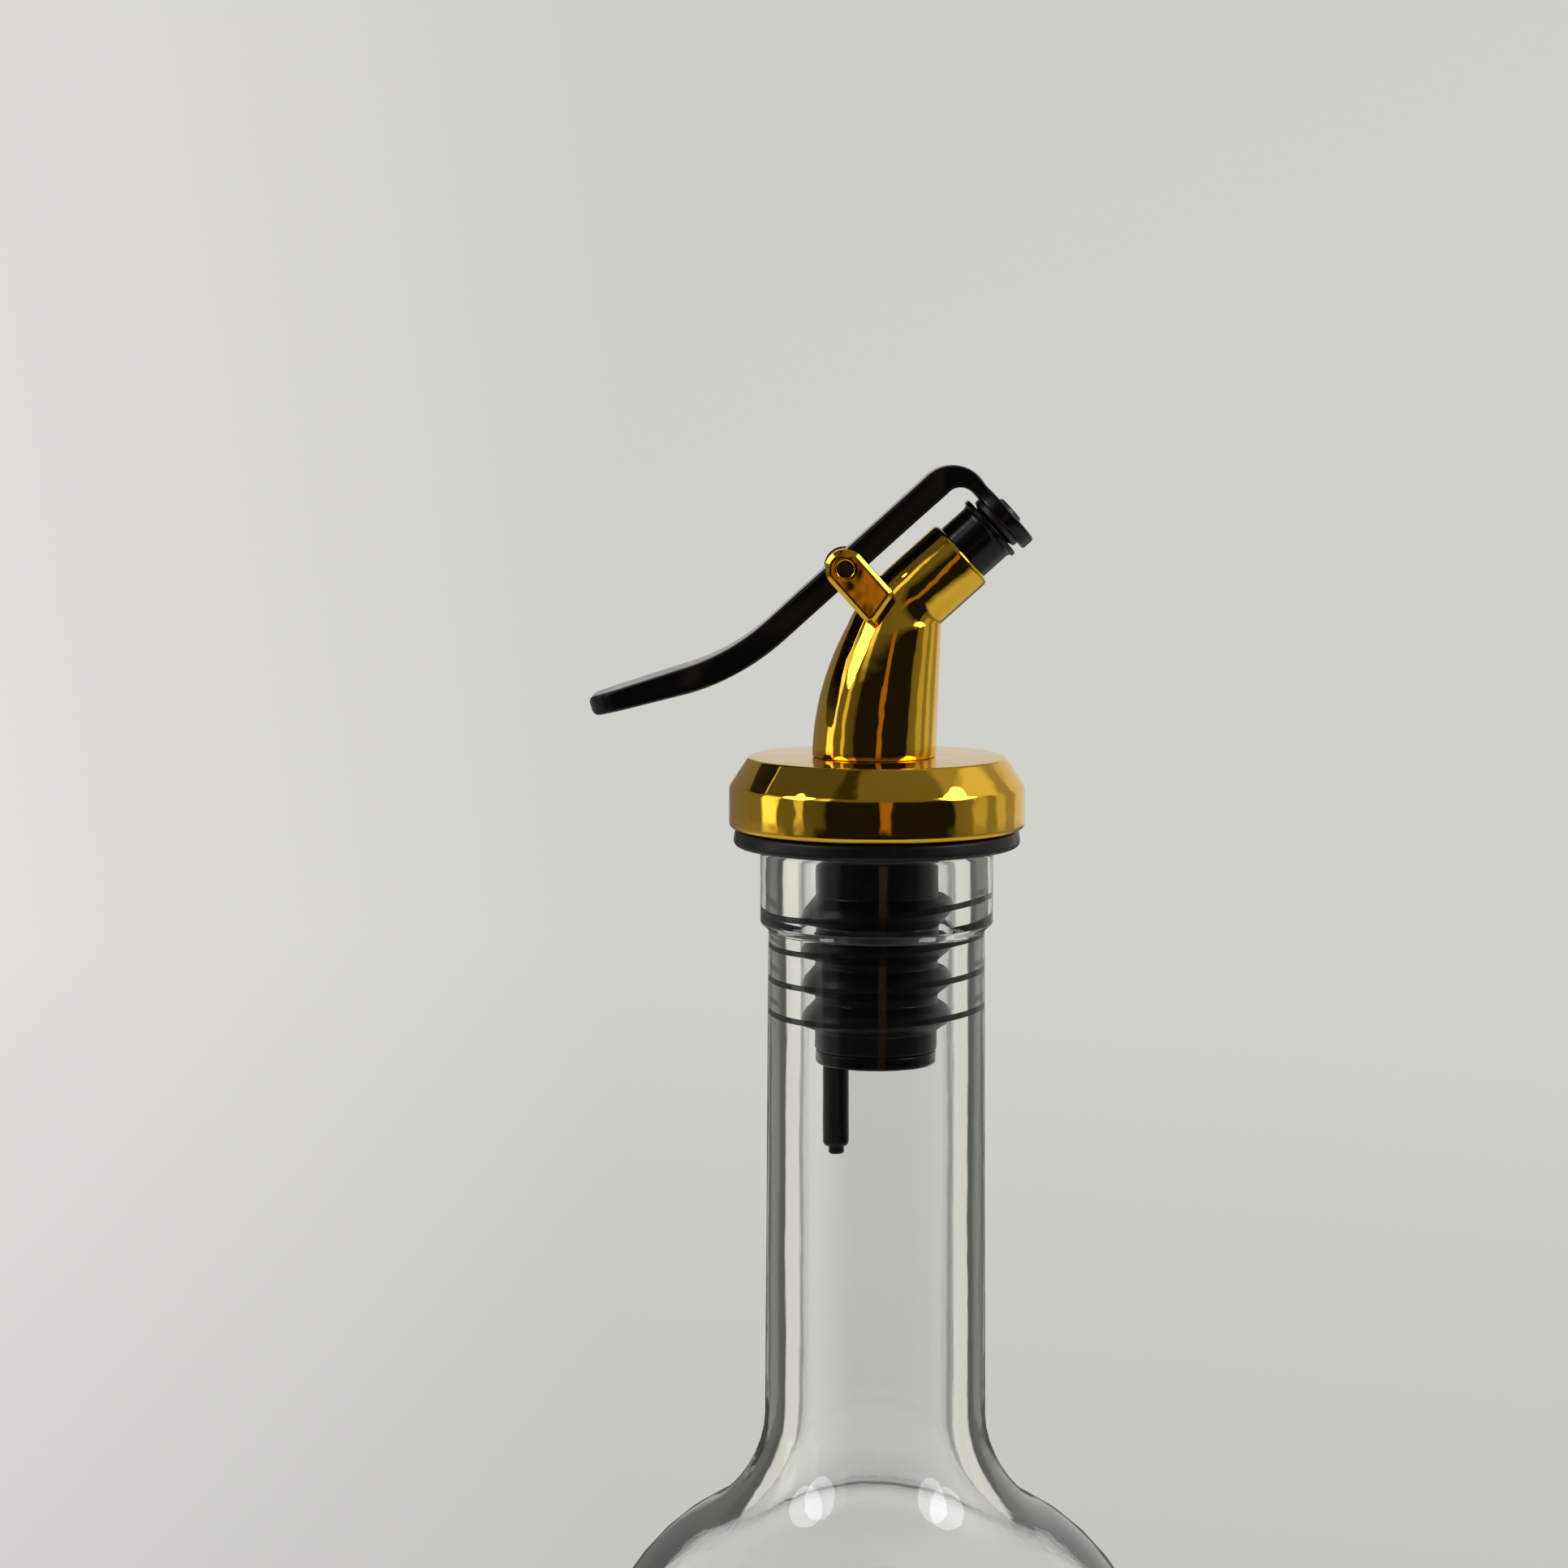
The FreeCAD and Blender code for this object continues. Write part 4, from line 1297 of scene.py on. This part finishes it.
outer_bands = [(0.3, 0.5, high), (0.66, 0.72, overhead), (-0.4, -0.6, room_light(pale(0.62)))]
studio = stack(level, [(-0.125, -0.19, low)] + outer_bands)
glass_studio = stack(inner, outer_bands)
print("The studio has its own light level with the pourer, above it and below it")

# %% [markdown]
# What the camera sees straight is a plain pale wall. Its brightness runs a little from side to
# side and down to the floor. Clear glass on a pale wall has hardly any outline, so photographers
# stand a dark card at each side, out of the picture. Light bent by the glass shows the cards as
# thin dark lines. Here the cards are two grey strips that only rays through the glass meet.

# %% Paint the pale wall
CARD = (0.62, 0.61, 0.58)
BARE = (1.0, 1.0, 1.0)
WALL_FOOT = -0.33
WALL_HEAD = 0.12


def room_times(first, second):
    """Product of two colours."""
    node = room_nodes.new("ShaderNodeVectorMath")
    node.operation = "MULTIPLY"
    room_links.new(first, node.inputs[0])
    room_links.new(second, node.inputs[1])
    return node.outputs["Vector"]


side_part = room_value(sideways, -1, 1)
wall_tone = room_ramp(side_part, [
    (0.0, pale(0.64)), (0.23, pale(0.7)), (0.375, (0.76, 0.75, 0.72)), (0.475, (0.64, 0.635, 0.605)),
    (0.625, (0.65, 0.645, 0.615)), (0.77, (0.66, 0.655, 0.625)), (1.0, pale(0.62)),
])
wall_shade = room_ramp(room_value(upward, WALL_FOOT, WALL_HEAD), [
    (0.0, (0.87, 0.87, 0.87)), (0.4, BARE), (1.0, (0.97, 0.97, 0.97)),
])
cards = room_ramp(side_part, [
    (0.09, BARE), (0.12, CARD), (0.2, CARD), (0.23, BARE), (0.77, BARE), (0.8, CARD), (0.88, CARD),
    (0.91, BARE),
])
wall = room_times(wall_tone, wall_shade)
carded_wall = room_times(wall, cards)
print("The wall is pale, and a little darker towards the floor")

# %% [markdown]
# The kind of ray decides what it meets. A ray straight from the camera meets the plain wall. A
# ray that only went through glass meets the wall with its cards. A reflected ray meets the studio,
# or the ring made for the glass if it has been inside it. Diffuse light is one plain grey, so that
# colours come out about as they are written. Depths count bounces, so below a half means none.

# %% Choose by kind of ray
DIFFUSE_LEVEL = 0.55
HALF_BOUNCE = 0.5

rays = room_nodes.new("ShaderNodeLightPath")
bounces = room_math("ADD", rays.outputs["Glossy Depth"], rays.outputs["Diffuse Depth"])
straight = room_math("LESS_THAN", bounces, HALF_BOUNCE)
through = room_math("MULTIPLY", rays.outputs["Is Transmission Ray"], straight)
in_glass = room_math("GREATER_THAN", rays.outputs["Transmission Depth"], HALF_BOUNCE)
reflected = room_mix(in_glass, studio, glass_studio)
lit = room_mix(rays.outputs["Is Diffuse Ray"], reflected, room_light((DIFFUSE_LEVEL,) * 3))
seen_through = room_mix(through, lit, room_light(carded_wall))
room_surface = room_mix(rays.outputs["Is Camera Ray"], seen_through, room_light(wall))
room_output = room_nodes.new("ShaderNodeOutputWorld")
room_links.new(room_surface, room_output.inputs["Surface"])
print("The room is", len(room_nodes), "nodes")

# %% [markdown]
# Two round lamps hang above, left and right of the camera. They light the floor and the black
# pieces, and they show as two soft discs on the shoulder of the glass. An area lamp is used
# because its reflection has the lamp's own shape. A point lamp would leave only a spark.

# %% Lamps
AIM = Vector((0, 0, 0.32))
LAMP_SIDE = 0.88
LAMP_FRONT = 0.31
LAMP_HEIGHT = 0.9
LAMP_WIDTH = 0.56
LAMP_RADIANCE = 4.0


def round_lamp(name, place):
    """Round lamp that faces the pourer, with its power worked out from its radiance."""
    data = bpy.data.lights.new(name, "AREA")
    data.shape = "DISK"
    data.size = LAMP_WIDTH
    area = math.pi * LAMP_WIDTH ** 2 / 4
    data.energy = LAMP_RADIANCE * math.pi * area
    lamp = bpy.data.objects.new(name, data)
    lamp.location = place
    lamp.rotation_euler = (AIM - Vector(place)).to_track_quat("-Z", "Y").to_euler()
    lamp.visible_camera = False
    bpy.context.scene.collection.objects.link(lamp)
    print(name, "at", place, "gives", round(data.energy, 2), "W")


for lamp_name, hand in (("lamp_left", -1), ("lamp_right", 1)):
    round_lamp(lamp_name, (hand * LAMP_SIDE, -LAMP_FRONT, LAMP_HEIGHT))

# %% [markdown]
# The camera stands a little above the top of the pourer, about 0.4 metres away, and looks slightly
# down. From there a long lens fills the picture with the pourer. The Standard view shows colours as
# they are written, where other views would bend bright tones.

# %% Camera
CAMERA_PLACE = (-0.01133, -0.4135, 0.3615)
CAMERA_PITCH = 83.84
CAMERA_LENS = 78.26
SENSOR_WIDTH = 36.0
NEAREST_SEEN = 0.01

camera_data = bpy.data.cameras.new("camera")
camera_data.lens = CAMERA_LENS
camera_data.sensor_width = SENSOR_WIDTH
camera_data.clip_start = NEAREST_SEEN
camera = bpy.data.objects.new("camera", camera_data)
camera.location = CAMERA_PLACE
camera.rotation_euler = (math.radians(CAMERA_PITCH), 0, 0)
bpy.context.scene.collection.objects.link(camera)
bpy.context.scene.camera = camera
bpy.context.scene.view_settings.view_transform = "Standard"
print("Camera at", CAMERA_PLACE, "with a lens of", CAMERA_LENS, "mm")
